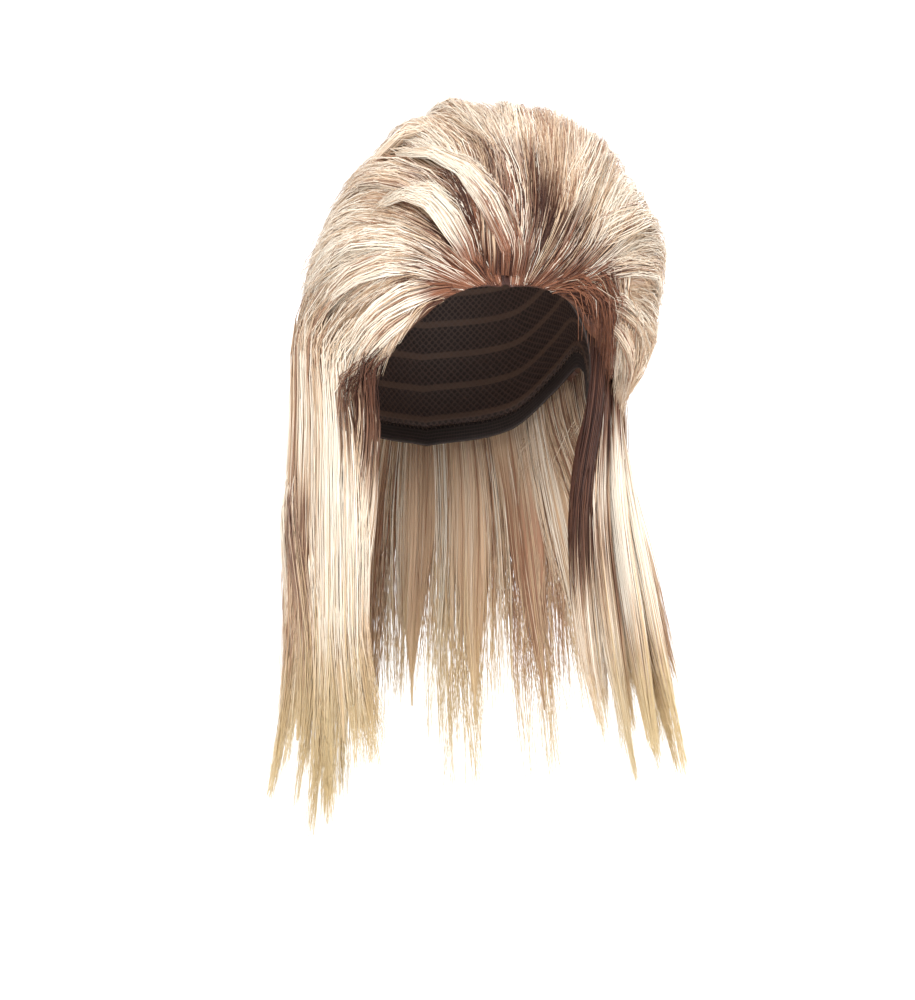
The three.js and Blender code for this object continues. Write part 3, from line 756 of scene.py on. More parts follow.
outerRight = [[50, 0.62, 0.42], [110, 0.85, 0.47], [210, 0.85, 0.5], [270, 0.6, 0.55], [300, 0.6, 0.75],
              [390, 0.6, 1]]
innerLeft = [[110, 0.35, 0], [232, 0.35, 0.06], [252, 0.85, 0.45], [305, 0.85, 0.55], [335, 0.6, 0.85],
             [390, 0.6, 1]]
streakLeft = [[110, 0.4, 0], [165, 0.4, 0.08], [175, 0.9, 0.48], [192, 0.9, 0.4], [212, 0.4, 0.1], [236, 0.45, 0.2],
              [270, 0.65, 0.6], [390, 0.6, 1]]
ivoryAndHighlightLeft = [[110, 0.4, 0], [140, 0.4, 0.06], [158, 1, 0.48], [200, 1.12, 0.5], [248, 1.08, 0.5], [275, 0.5, 0.5],
             [305, 0.6, 0.8], [390, 0.6, 1]]
outerLeft = [[110, 0.5, 0.1], [150, 0.75, 0.42], [235, 0.8, 0.5], [275, 0.35, 0.5], [315, 0.55, 0.8],
             [390, 0.6, 1]]
plainBack = [[80, 0.55, 0.42], [140, 0.5, 0.3], [190, 0.6, 0.5], [280, 0.55, 0.7], [380, 0.6, 1]]
backAsh = [[80, 0.6, 0.45], [150, 0.6, 0.4], [200, 0.35, 0.5], [270, 0.4, 0.55], [380, 0.55, 1]]
rightLocks = [
    {"width": 0.62, "tip": 0.88, "start": [200, 54], "sunk": 2, "lead": [0, 6],
     "x": [-1.08, -1.03, -1.09, -0.88], "y": [-0.35, -0.37, -0.43, -0.57], "colour": innerRight},
    {"width": 0.65, "tip": 0.95, "start": [200, 64], "sunk": 2, "lead": [0, 6],
     "x": [-1.08, -1.08, -1.1, -0.95], "y": [-0.24, -0.34, -0.48, -0.65], "colour": secondRight},
    {"width": 0.85, "tip": 0.975, "start": [188, 64], "lead": [6, 14],
     "x": [-1.12, -1.18, -1.17, -1.17], "y": [-0.1, -0.24, -0.41, -0.56], "colour": ivoryAndHighlightFall},
    {"width": 1, "tip": 1, "start": [176, 70], "lead": [6, 16],
     "x": [-1.13, -1.28, -1.25, -1.39], "y": [0.09, -0.04, -0.21, -0.4], "colour": ivoryAndHighlightFall},
    {"width": 1, "tip": 0.98, "start": [168, 78], "lead": [5, 16],
     "x": [-1.09, -1.35, -1.33, -1.55], "y": [0.3, 0.17, -0.01, -0.2], "colour": ashFall},
    {"width": 1, "tip": 0.95, "start": [164, 92], "lead": [4, 16],
     "x": [-1, -1.3, -1.35, -1.6], "y": [0.51, 0.41, 0.24, 0.06], "colour": outerRight},
]
leftLocks = [
    {"width": 0.85, "tip": 0.9,
     "x": [0.99, 0.83, 0.86, 1.05], "y": [-0.41, -0.48, -0.56, -0.63], "colour": innerLeft},
    {"width": 0.9, "tip": 0.95,
     "x": [1.06, 1, 1.09, 1.26], "y": [-0.27, -0.36, -0.46, -0.58], "colour": streakLeft},
    {"width": 0.95, "tip": 0.99,
     "x": [1.17, 1.2, 1.34, 1.57], "y": [-0.1, -0.21, -0.34, -0.46], "colour": ivoryAndHighlightLeft},
    {"width": 1, "tip": 0.96,
     "x": [1.2, 1.33, 1.56, 1.78], "y": [0.1, -0.01, -0.14, -0.27], "colour": ivoryAndHighlightLeft},
    {"width": 1, "tip": 0.92,
     "x": [1.16, 1.38, 1.68, 1.93], "y": [0.31, 0.2, 0.08, -0.05], "colour": outerLeft},
    {"width": 1, "tip": 0.94,
     "x": [0.99, 1.26, 1.54, 1.77], "y": [0.53, 0.45, 0.33, 0.19], "colour": plainBack},
]
backLocks = [
    {"width": 1, "tip": 0.93, "start": [162, 112],
     "x": [-0.86, -1.12, -1.27, -1.4], "y": [0.62, 0.64, 0.51, 0.35], "colour": backAsh},
    {"width": 1, "tip": 0.96, "start": [146, 128],
     "x": [-0.61, -0.86, -0.99, -1.09], "y": [0.86, 0.88, 0.8, 0.67], "colour": plainBack},
    {"width": 1, "tip": 0.98, "start": [120, 134],
     "x": [-0.31, -0.47, -0.57, -0.65], "y": [1, 1, 0.96, 0.88], "colour": backAsh},
    {"width": 1, "tip": 0.95, "start": [92, 137],
     "x": [0, -0.03, -0.08, -0.1], "y": [1.04, 1.05, 1.03, 0.97], "colour": plainBack},
    {"width": 1, "tip": 0.99, "start": [62, 134],
     "x": [0.31, 0.42, 0.44, 0.47], "y": [1, 1.01, 0.98, 0.92], "colour": plainBack},
    {"width": 1, "tip": 0.96, "start": [36, 128],
     "x": [0.61, 0.83, 0.96, 1.06], "y": [0.86, 0.9, 0.84, 0.76], "colour": backAsh},
    {"width": 1, "tip": 0.92, "start": [18, 112],
     "x": [0.86, 1.1, 1.32, 1.45], "y": [0.62, 0.67, 0.58, 0.47], "colour": plainBack},
]


def longCentre(lock, root, t):
    drop = longHair["drop"]
    drops = [root, longHair["jaw"] * drop, longHair["shoulder"] * drop, lock["tip"] * drop]
    x = np.array(lock["x"]) * head["halfBreadth"]
    y = np.array(lock["y"]) * head["halfLength"]
    marks = np.stack([x, y, -np.array(drops)], 1)
    if lock.get("start"):
        marks[0] = domePoint(*np.array(lock["start"], float), -2 * mm)
        marks[1, :2] = (marks[0, :2] + marks[2, :2]) / 2
    underHem = marks[0] + 0.35 * (marks[1] - marks[0])
    underHem[2] = (marks[0, 2] + marks[1, 2]) / 2
    marks = np.insert(marks, 1, underHem, axis=0)
    if lock.get("start"):
        swept = np.array(lock["start"], float) - lock.get("lead", longHair["lead"])
        marks = np.insert(marks, 0, domePoint(*swept, -3 * mm), axis=0)
    return curveThrough(marks, t)


def lockFrame(centre):
    along = unit(np.gradient(centre, axis=0))
    out = centre * np.array([1, 1, 0])
    out = unit(out - along * (out * along).sum(-1, keepdims=True))
    return np.cross(along, out), out


def longLockStrands(rng, lock, root, count, changes):
    t = np.linspace(0, 1, 40)
    centre = longCentre(lock, root, t)
    across, out = lockFrame(centre)
    look = {**longLook, **changes, "thickness": lockSize["thickness"]}
    look["width"] = lock["width"] * lockSize["width"] * look.get("fuller", 1)
    points, ends, tones = sectionStrands(rng, centre, across, out, count, look)
    points = outsideHead(points, fan["capOuter"] + 0.5 * mm)
    starts = np.zeros(count)
    if lock.get("start"):
        starts = longHair["stagger"] * rng.uniform(0, 1, count)
        rising = smooth(t - starts[:, None], 0, longHair["rise"])
        sunk = lock.get("sunk", longHair["sunk"])
        lift = rng.uniform(-1.8, 1.2, count)[:, None] - sunk * (1 - rising)
        points = overShort(points, lift * mm)
    rows = np.array(lock["colour"])
    # Strands change colour at slightly different heights, and some much earlier
    early = (rng.uniform(0, 1, count) < longHair["early"]) * rng.uniform(*longHair["earlier"], count)
    shift = (rng.normal(0, 10, count) + early)[:, None]
    drop = -points[..., 2] / mm + shift
    tone = np.interp(-centre[:, 2] / mm, rows[:, 0], rows[:, 1])
    shade = np.interp(drop, rows[:, 0], rows[:, 2])
    steps = longHair["steps"]
    toneAlong = np.interp(drop, rows[:, 0], rows[:, 1]) + tones[:, None]
    bunching = rng.uniform(0.95, 1.6, count)
    along = [resampled(values, ends, steps, starts, bunching) for values in (points, shade, toneAlong)]
    radius = fibreRadius(rng, count, steps, longHair["thickness"])
    made = bundle(along[0], radius, tone.mean() + tones, along[1])
    made["toneAlong"] = np.clip(along[2], 0, 1)
    return made


# A closed tapered tube inside each lock, that fills it between its strands. from and until are
# shares of the lock's length, width and depth shares of its section.
core = {"sides": 10, "rings": 14, "from": 0.02, "until": 0.84, "width": 0.72, "depth": 0.6}


def longLockCore(lock, root):
    sides, rings = core["sides"], core["rings"]
    t = np.linspace(core["from"], core["until"], rings)
    centre = longCentre(lock, root, np.linspace(0, 1, 60))
    across, out = lockFrame(centre)
    k = (t * 59).astype(int)
    middle, wide, deep = centre[k], across[k], out[k]
    turn = np.linspace(0, 2 * np.pi, sides, endpoint=False)
    taper = (0.6 + 0.4 * smooth(t, 0, 0.2)) * (1 - 0.97 * smooth(t, 0.4, core["until"]))
    a = core["width"] * lock["width"] * lockSize["width"] / 2 * taper
    b = core["depth"] * lockSize["thickness"] / 2 * np.sqrt(taper)
    ring = (
        middle[:, None]
        + wide[:, None] * (a[:, None] * np.cos(turn))[..., None]
        + deep[:, None] * (b[:, None] * np.sin(turn))[..., None]
    )
    points = np.concatenate([ring.reshape(-1, 3), middle[:1], middle[-1:]])
    points = outsideHead(points, fan["capOuter"])
    faces = []
    for j in range(rings - 1):
        for i in range(sides):
            n = (i + 1) % sides
            faces.append([j * sides + i, j * sides + n, (j + 1) * sides + n, (j + 1) * sides + i])
    top, bottom = rings * sides, rings * sides + 1
    last = (rings - 1) * sides
    faces += [[top, (i + 1) % sides, i] for i in range(sides)]
    faces += [[bottom, last + i, last + (i + 1) % sides] for i in range(sides)]
    rows = np.array(lock["colour"])
    drop = -points[:, 2] / mm
    # Painted shade: the core is coloured darker and browner than the lock's strands round it
    tone = np.interp(drop, rows[:, 0], rows[:, 1]) - 0.2
    shade = np.interp(drop, rows[:, 0], rows[:, 2]) - 0.08
    return {
        "points": points,
        "faces": faces,
        "tone": np.clip(tone, 0, 1),
        "shade": np.clip(shade, 0, 1),
        "across": np.concatenate([np.tile(turn, rings), [0, 0]]) / 6.3,
        "along": np.concatenate([np.repeat(t, sides), [0, 1]]),
    }


def domeShell(turns, travels, columns, rows):
    # The teased mass under the strands: a closed wall from the cap out to just below the surface
    u, v = np.meshgrid(np.linspace(0, 1, columns + 1), np.linspace(0, 1, rows + 1), indexing="ij")
    travel = travels[0] + (travels[1] - travels[0]) * v
    left = np.interp(travel, hem["travel"], hem["left"]) + 0.8 if turns[0] is None else turns[0]
    right = np.interp(travel, hem["travel"], hem["right"]) - 0.8 if turns[1] is None else turns[1]
    turn = left + (right - left) * u
    way = fanDirection(turn, travel)
    skin = headDistance(way, fan["capOuter"])
    depth = surfaceDistance(turn, travel) - skin
    nearHem = np.maximum(smooth(-turn, -18, 6), smooth(turn, 162, 186))
    open_ = np.maximum(nearHem * smooth(travel, 44, 62), smooth(travel, 108, 136))
    pocket = np.maximum(0, depth - fan["hemThickness"]) * open_
    outer = shellLift(depth) * hairlineRise(turn, travel) - hemTuck(turn, travel)
    outer = np.maximum(outer, 0.9 * mm)
    inner = np.minimum(0.3 * mm + pocket, outer - 0.5 * mm)
    walls = [fan["centre"] + way * (skin + lift)[..., None] for lift in (outer, inner)]
    points = np.concatenate([wall.reshape(-1, 3) for wall in walls])

    def at(side, i, j):
        return (side * (columns + 1) + i) * (rows + 1) + j

    faces = []
    for i in range(columns):
        for j in range(rows):
            faces.append([at(0, i, j), at(0, i, j + 1), at(0, i + 1, j + 1), at(0, i + 1, j)])
            faces.append([at(1, i, j), at(1, i + 1, j), at(1, i + 1, j + 1), at(1, i, j + 1)])
        faces.append([at(0, i, 0), at(0, i + 1, 0), at(1, i + 1, 0), at(1, i, 0)])
        faces.append([at(0, i, rows), at(1, i, rows), at(1, i + 1, rows), at(0, i + 1, rows)])
    for j in range(rows):
        faces.append([at(0, 0, j), at(1, 0, j), at(1, 0, j + 1), at(0, 0, j + 1)])
        faces.append([at(0, columns, j), at(0, columns, j + 1), at(1, columns, j + 1), at(1, columns, j)])
    # Pale locks and painted highlight from the light lines, as on the strands
    light = paleAndHighlight(turn, travel)
    unlike = contrast(turn, travel)
    # Painted shade: the mass is coloured darker than the strands over it, most at the front, so the gaps between
    # strands read as shade; the brown and shaded spots darken it further
    tone = 0.44 - 0.2 * unlike + 0.3 * light - 0.3 * brownAndShade(turn, travel)
    start, end = rootBand(turn)
    most = 0.48 - 0.2 * unlike
    shade = most * smooth(edgeDistance(turn, travel), start + 2, end + 4) * (1 - brownAndShade(turn, travel))
    return {
        "points": points,
        "faces": faces,
        "tone": np.tile(tone.ravel(), 2),
        # The inner wall is coloured almost root brown, painted shade inside the hem
        "shade": np.concatenate([shade.ravel(), np.full(shade.size, 0.04)]),
        "across": np.tile(u.ravel(), 2),
        "along": np.tile(v.ravel(), 2),
    }


# Materials
def addNode(tree, kind, settings=None, **inputs):
    made = tree.nodes.new(kind)
    for name, value in (settings or {}).items():
        setattr(made, name, value)
    for name, value in inputs.items():
        socket = made.inputs[name.replace("_", " ")]
        if isinstance(value, bpy.types.NodeSocket):
            tree.links.new(value, socket)
        else:
            socket.default_value = value
    return made


def calculated(tree, operation, *values):
    made = tree.nodes.new("ShaderNodeMath")
    made.operation = operation
    for socket, value in zip(made.inputs, values):
        if isinstance(value, bpy.types.NodeSocket):
            tree.links.new(value, socket)
        else:
            socket.default_value = value
    return made.outputs[0]


def mixedColour(tree, factor, a, b):
    made = tree.nodes.new("ShaderNodeMix")
    made.data_type = "RGBA"
    for index, value in ((0, factor), (6, a), (7, b)):
        if isinstance(value, bpy.types.NodeSocket):
            tree.links.new(value, made.inputs[index])
        else:
            made.inputs[index].default_value = value
    return made.outputs[2]


def stepped(tree, value, low, high):
    made = tree.nodes.new("ShaderNodeMapRange")
    made.interpolation_type = "SMOOTHSTEP"
    tree.links.new(value, made.inputs[0])
    made.inputs[1].default_value = low
    made.inputs[2].default_value = high
    return made.outputs[0]


def newGroup(name, kind, inputs, outputs):
    tree = bpy.data.node_groups.new(name, kind)
    sockets = {}
    for label, socketKind in inputs:
        made = tree.interface.new_socket(label, in_out="INPUT", socket_type=socketKind)
        sockets[label] = made.identifier
    for label, socketKind in outputs:
        tree.interface.new_socket(label, in_out="OUTPUT", socket_type=socketKind)
    start, end = tree.nodes.new("NodeGroupInput"), tree.nodes.new("NodeGroupOutput")
    return tree, start.outputs, end.inputs, sockets


def linear(red, green, blue):
    # From the 0 to 255 of a colour picker
    def one(value):
        c = value / 255
        return c / 12.92 if c <= 0.04045 else ((c + 0.055) / 1.055) ** 2.4

    return (one(red), one(green), one(blue), 1)


def hairColourGroup():
    # Colour of a fibre from its bake map: across is tone, up is shade
    colours = ["Root", "PaleRoot", "Ash", "Blonde", "Ivory", "Tip"]
    tree, given, wanted, _ = newGroup(
        "hairColour",
        "ShaderNodeTree",
        [("Map", "NodeSocketVector")] + [(c, "NodeSocketColor") for c in colours],
        [("Color", "NodeSocketColor"), ("Roughness", "NodeSocketFloat")],
    )
    parts = addNode(tree, "ShaderNodeSeparateXYZ", Vector=given["Map"])
    tone, shade = parts.outputs["X"], parts.outputs["Y"]
    body = mixedColour(tree, stepped(tree, tone, 0.1, 0.5), given["Ash"], given["Blonde"])
    body = mixedColour(tree, stepped(tree, tone, 0.48, 0.92), body, given["Ivory"])
    root = mixedColour(tree, stepped(tree, tone, 0.12, 0.95), given["Root"], given["PaleRoot"])
    rooted = mixedColour(tree, stepped(tree, shade, 0.02, 0.44), root, body)
    tipped = mixedColour(tree, 0.72, body, given["Tip"])
    whole = mixedColour(tree, stepped(tree, shade, 0.52, 0.9), rooted, tipped)
    tree.links.new(whole, wanted["Color"])
    gloss = calculated(tree, "MULTIPLY_ADD", stepped(tree, shade, 0.1, 0.5), -0.1, 0.4)
    tree.links.new(gloss, wanted["Roughness"])
    return tree


def newMaterial(name):
    material = bpy.data.materials.new(name)
    material.use_nodes = True
    return material, material.node_tree, material.node_tree.nodes["Principled BSDF"]


hairColours = {
    "Root": linear(60, 29, 20),
    "PaleRoot": linear(152, 100, 74),
    "Ash": linear(164, 121, 96),
    "Blonde": linear(220, 190, 158),
    "Ivory": linear(254, 243, 226),
    "Tip": linear(224, 202, 150),
}
hairColourTree = hairColourGroup()


def hairMaterial(name, changes):
    material, tree, shader = newMaterial(name)
    group = tree.nodes.new("ShaderNodeGroup")
    group.node_tree = hairColourTree
    bakeMap = addNode(tree, "ShaderNodeUVMap", {"uv_map": "OFBake"})
    tree.links.new(bakeMap.outputs[0], group.inputs["Map"])
    for label, colour in {**hairColours, **changes}.items():
        group.inputs[label].default_value = colour
    tree.links.new(group.outputs["Color"], shader.inputs["Base Color"])
    tree.links.new(group.outputs["Roughness"], shader.inputs["Roughness"])
    shader.inputs["Specular IOR Level"].default_value = 0.36
    return material


shortFibre = hairMaterial("teased short fibre", {})
longFibre = hairMaterial("straight long fibre", {})
print("hair materials made")


def fibreTree():
    # Loose edges of a mesh become closed tubes; its faces stay as they are
    tree, given, wanted, sockets = newGroup(
        "fibres",
        "GeometryNodeTree",
        [
            ("Geometry", "NodeSocketGeometry"),
            ("Sides", "NodeSocketInt"),
            ("Thickness", "NodeSocketFloat"),
            ("Material", "NodeSocketMaterial"),
        ],
        [("Geometry", "NodeSocketGeometry")],
    )

    def named(label, kind):
        made = tree.nodes.new("GeometryNodeInputNamedAttribute")
        made.data_type = kind
        made.inputs["Name"].default_value = label
        return made.outputs["Attribute"]

    def stored(geometry, label, value, kind, domain):
        made = tree.nodes.new("GeometryNodeStoreNamedAttribute")
        made.data_type, made.domain = kind, domain
        made.inputs["Name"].default_value = label
        tree.links.new(geometry, made.inputs["Geometry"])
        tree.links.new(value, made.inputs["Value"])
        return made.outputs["Geometry"]

    loose = named("fibre", "BOOLEAN")
    toCurve = addNode(tree, "GeometryNodeMeshToCurve", Mesh=given["Geometry"], Selection=loose)
    circle = addNode(tree, "GeometryNodeCurvePrimitiveCircle", Resolution=given["Sides"], Radius=1.0)
    factor = tree.nodes.new("GeometryNodeSplineParameter").outputs["Factor"]
    profile = stored(circle.outputs["Curve"], "roundFibre", factor, "FLOAT", "POINT")
    scale = calculated(tree, "MULTIPLY", named("radius", "FLOAT"), given["Thickness"])
    tubes = addNode(
        tree,
        "GeometryNodeCurveToMesh",
        Curve=toCurve.outputs["Curve"],
        Profile_Curve=profile,
        Scale=scale,
        Fill_Caps=True,
    )
    walls = addNode(tree, "GeometryNodeDeleteGeometry", Geometry=given["Geometry"], Selection=loose)
    whole = tree.nodes.new("GeometryNodeJoinGeometry")
    tree.links.new(tubes.outputs["Mesh"], whole.inputs[0])
    tree.links.new(walls.outputs["Geometry"], whole.inputs[0])

    # The bake map: tone and shade, with a little room so that no face has no area
    around = calculated(tree, "ADD", named("roundFibre", "FLOAT"), named("across", "FLOAT"))
    u = calculated(tree, "MULTIPLY_ADD", around, 0.012, 0.01)
    u = calculated(tree, "MULTIPLY_ADD", named("tone", "FLOAT"), 0.96, u)
    v = calculated(tree, "MULTIPLY_ADD", named("along", "FLOAT"), 0.03, 0.01)
    v = calculated(tree, "MULTIPLY_ADD", named("shade", "FLOAT"), 0.94, v)
    place = addNode(tree, "ShaderNodeCombineXYZ", X=u, Y=v)
    mapped = stored(whole.outputs["Geometry"], "OFBake", place.outputs[0], "FLOAT2", "CORNER")
    rounded = addNode(tree, "GeometryNodeSetShadeSmooth", Geometry=mapped)
    real = addNode(tree, "GeometryNodeRealizeInstances", Geometry=rounded.outputs["Geometry"])
    coloured = addNode(
        tree,
        "GeometryNodeSetMaterial",
        Geometry=real.outputs["Geometry"],
        Material=given["Material"],
    )
    tree.links.new(coloured.outputs["Geometry"], wanted["Geometry"])
    return tree, sockets


fibres, fibreSockets = fibreTree()


def carrierMesh(name, bundles, shells):
    # Polylines of the strands and faces of the shells, with what the tree reads at each point
    points, edges, faces = [], [], []
    values = {label: [] for label in ("radius", "tone", "shade", "along", "across", "fibre")}
    first = 0
    for strands in bundles:
        count, steps = strands["points"].shape[:2]
        index = first + np.arange(count * steps).reshape(count, steps)
        edges.append(np.stack([index[:, :-1], index[:, 1:]], -1).reshape(-1, 2))
        points.append(strands["points"].reshape(-1, 3))
        tone = strands.get("toneAlong", np.repeat(strands["tone"][:, None], steps, 1))
        values["radius"].append(strands["radius"].ravel())
        values["tone"].append(tone.ravel())
        values["shade"].append(strands["shade"].ravel())
        values["along"].append(np.tile(np.linspace(0, 1, steps), count))
        values["across"].append(np.zeros(count * steps))
        values["fibre"].append(np.ones(count * steps))
        first += count * steps
    for shell in shells:
        size = len(shell["points"])
        faces += [[first + i for i in face] for face in shell["faces"]]
        points.append(shell["points"])
        values["radius"].append(np.zeros(size))
        values["fibre"].append(np.zeros(size))
        for label in ("tone", "shade", "along", "across"):
            values[label].append(shell[label])
        first += size
    mesh = bpy.data.meshes.new(name)
    mesh.from_pydata(np.concatenate(points).tolist(), np.concatenate(edges).tolist(), faces)
    for label, parts in values.items():
        kind, form = ("BOOLEAN", bool) if label == "fibre" else ("FLOAT", float)
        layer = mesh.attributes.new(label, kind, "POINT")
        layer.data.foreach_set("value", np.concatenate(parts).astype(form))
    return mesh


def evaluatedMesh(carrier, tree, settings):
    # The tree's result on a carrier mesh as a plain mesh
    worker = bpy.data.objects.new(carrier.name + "Carrier", carrier)
    bpy.context.scene.collection.objects.link(worker)
    modifier = worker.modifiers.new("grow", "NODES")
    modifier.node_group = tree
    for identifier, value in settings.items():
        modifier[identifier] = value
    depsgraph = bpy.context.evaluated_depsgraph_get()
    mesh = bpy.data.meshes.new_from_object(worker.evaluated_get(depsgraph))
    worker.modifiers.remove(modifier)
    bpy.data.objects.remove(worker)
    bpy.data.meshes.remove(carrier)
    return mesh


carried = ("radius", "tone", "shade", "along", "across", "fibre", "roundFibre")


def keepPiece(name, mesh, slotName, *replaced):
    for label in carried:
        if label in mesh.attributes:
            mesh.attributes.remove(mesh.attributes[label])
    piece = bpy.data.objects.new(name, mesh)
    bpy.context.scene.collection.objects.link(piece)
    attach(piece, "root")
    if replaced:
        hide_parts(*replaced)
    mesh.calc_loop_triangles()
    print(f"{name}: {len(mesh.loop_triangles)} triangles")
    return piece


def hairPiece(name, node, slotName, material, bundles, shells):
    carrier = carrierMesh(name, bundles, shells)
    settings = {
        fibreSockets["Sides"]: 3,
        fibreSockets["Thickness"]: 1.0,
        fibreSockets["Material"]: material,
    }
    mesh = evaluatedMesh(carrier, fibres, settings)
    return keepPiece(name, mesh, slotName, *([node] if node else []))


# Short hair over the crown, from seam to seam
crownHair = {"seed": 11, "hairline": 60, "each": 10, "spacing": 5.4}


def buildCrownHair():
    rng = np.random.default_rng(crownHair["seed"])
    seams = (fan["leftSeam"], fan["rightSeam"])
    front = sweptStrands(rng, hairlineCentres(rng, seams, 3), crownHair["hairline"], True)
    centres = evenCentres(rng, seams, (12, fan["back"]), crownHair["spacing"])
    over = sweptStrands(rng, centres, crownHair["each"], False)
    locks = [surfaceLockStrands(rng, lock) for lock in crownLocks]
    shell = domeShell(seams, (fan["hairline"], fan["back"]), 40, 40)
    hairPiece("crownHair", "crown_hair", "short_hair", shortFibre, [front, over, *locks], [shell])


# Short hair over each temple and ear, from the hem to the seam
sideHair = {"leftSeed": 21, "rightSeed": 31, "hairline": 42, "each": 10, "spacing": 5.2}
leftFalls = [
    {"clumps": 40, "each": 12, "turns": (8, 24), "travels": (12, 34), "length": (18, 30), "swing": 44,
     "back": 4, "extra": 0},
    {"clumps": 26, "each": 10, "turns": (-8, 12), "travels": (60, 104), "length": (34, 56), "swing": 30,
     "back": 10, "extra": 8},
]
rightFalls = [
    {"clumps": 50, "each": 12, "turns": (154, 186), "travels": (62, 100), "length": (42, 72), "swing": 34,
     "back": 20, "extra": 14},
]


def fallingStrands(rng, falls):
    # Short hair that runs on over the long hair, or down before the ear
    bundles = []
    for fall in falls:
        size = fall["clumps"]
        roots = np.stack([rng.uniform(*fall["turns"], size), rng.uniform(*fall["travels"], size)], 1)
        bundles.append(sweptStrands(rng, roots, fall["each"], False, fall))
    return bundles


def buildSideHair(name, node, seed, turns, locks, falls):
    rng = np.random.default_rng(seed)
    low = hem["left"][5] if turns[0] is None else turns[0]
    high = hem["right"][4] if turns[1] is None else turns[1]
    hairline = hairlineCentres(rng, (low + 1, high - 1), 3)
    front = sweptStrands(rng, hairline, sideHair["hairline"], True)
    centres = evenCentres(rng, (low, high), (12, fan["back"]), sideHair["spacing"])
    over = sweptStrands(rng, centres, sideHair["each"], False)
    falling = fallingStrands(rng, falls)
    proud = [surfaceLockStrands(rng, lock) for lock in locks]
    shell = domeShell(turns, (fan["hairline"], fan["back"]), 26, 40)
    hairPiece(name, node, "short_hair", shortFibre, [front, over, *falling, *proud], [shell])


# Short layered hair over the back of the head
backLayers = {"seed": 41, "each": 10, "spacing": 4.6}


def buildBackLayers():
    rng = np.random.default_rng(backLayers["seed"])
    turns = (hem["left"][6], hem["right"][6])
    centres = evenCentres(rng, turns, (fan["back"], fan["nape"] - 8), backLayers["spacing"])
    over = sweptStrands(rng, centres, backLayers["each"], False)
    shell = domeShell((None, None), (fan["back"], fan["nape"]), 60, 14)
    hairPiece("backLayers", "back_layers", "short_hair", shortFibre, [over], [shell])


# Long hair: a panel behind each ear and one down the back
longPanels = {
    "rightLongHair": {"seed": 51, "node": "right_long_hair", "strands": 3100, "locks": rightLocks,
                      "look": {"root": 0.6, "drift": 1.5 * mm}},
    "leftLongHair": {"seed": 61, "node": "left_long_hair", "strands": 3100, "locks": leftLocks,
                     "look": {"root": 1.0, "drift": 1.6 * mm}},
    "backLongHair": {"seed": 71, "node": "back_long_hair", "strands": 2900, "locks": backLocks,
                     "look": {"fuller": 1.2, "shortest": 0.76, "drift": 2.4 * mm}},
}


def buildLongHair(name, panel):
    rng = np.random.default_rng(panel["seed"])
    root = longHair["backRoot"] if panel["node"].startswith("back") else longHair["sideRoot"]
    total = sum(lock["width"] ** 0.7 for lock in panel["locks"])
    overLook = {**panel["look"], "root": longHair["overRoot"], "groups": longHair["overGroups"]}
    bundles, cores = [], []
    for lock in panel["locks"]:
        count = round(panel["strands"] * lock["width"] ** 0.7 / total)
        over = round(count * longHair["over"]) if "start" in lock else 0
        below = {**lock, "start": None}
        bundles.append(longLockStrands(rng, below, root, count - over, panel["look"]))
        if over:
            bundles.append(longLockStrands(rng, lock, root, over, overLook))
        cores.append(longLockCore(below, root))
    hairPiece(name, panel["node"], "long_hair", longFibre, bundles, cores)


# The stretch net cap and its elastic band, which follow the head down to the cap's edge
cap = {
    "wall": 1.8 * mm,
    "band": 11 * mm,
    "joint": 0.6 * mm,
    "columns": 144,
    "rows": 44,
    "tracks": 9,  # sewn rows that the hair is fixed to, seen as ribs inside
    "trackRise": 0.5 * mm,
    # Flat sizes in metres. The net's are from front to back and across from ear to ear.
    "netFlat": (0.288, 0.307),
    "netArea": 0.051,
    "bandFlat": (0.011, 0.62),
    "edge": [[0, 50], [22, 55], [40, 64], [54, 84], [64, 103], [73, 122], [86, 105], [96, 102],
             [112, 116], [136, 140], [180, 150]],
}


def edgeDrop(turn):
    # How far the cap's edge lies below the crown, at turns from the front
    at, drop = np.array(cap["edge"], float).T
    slope = np.gradient(drop, at)
    slope[1:-1] = (drop[2:] - drop[:-2]) / (at[2:] - at[:-2])
    x = np.minimum(turn % 360, 360 - turn % 360)
    k = np.clip(np.searchsorted(at, x, side="right") - 1, 0, len(at) - 2)
    span = at[k + 1] - at[k]
    s = (x - at[k]) / span
    a, b, ta, tb = drop[k], drop[k + 1], slope[k] * span, slope[k + 1] * span
    return (a + s * (ta + s * (3 * (b - a) - 2 * ta - tb + s * (2 * (a - b) + ta + tb)))) * mm


def headPoint(turn, drop, offset):
    # On the head grown by offset, at a turn from the front and a drop below the crown
    a, d = np.radians(turn), np.arccos(np.clip(1 - drop / head["halfHeight"], -1, 1))
    x = (head["halfBreadth"] + offset) * np.sin(d) * np.sin(a)
    y = -(head["halfLength"] + offset) * np.sin(d) * np.cos(a)
    z = (head["halfHeight"] + offset) * np.cos(d) - head["halfHeight"]
    return np.stack(np.broadcast_arrays(x, y, z), -1)


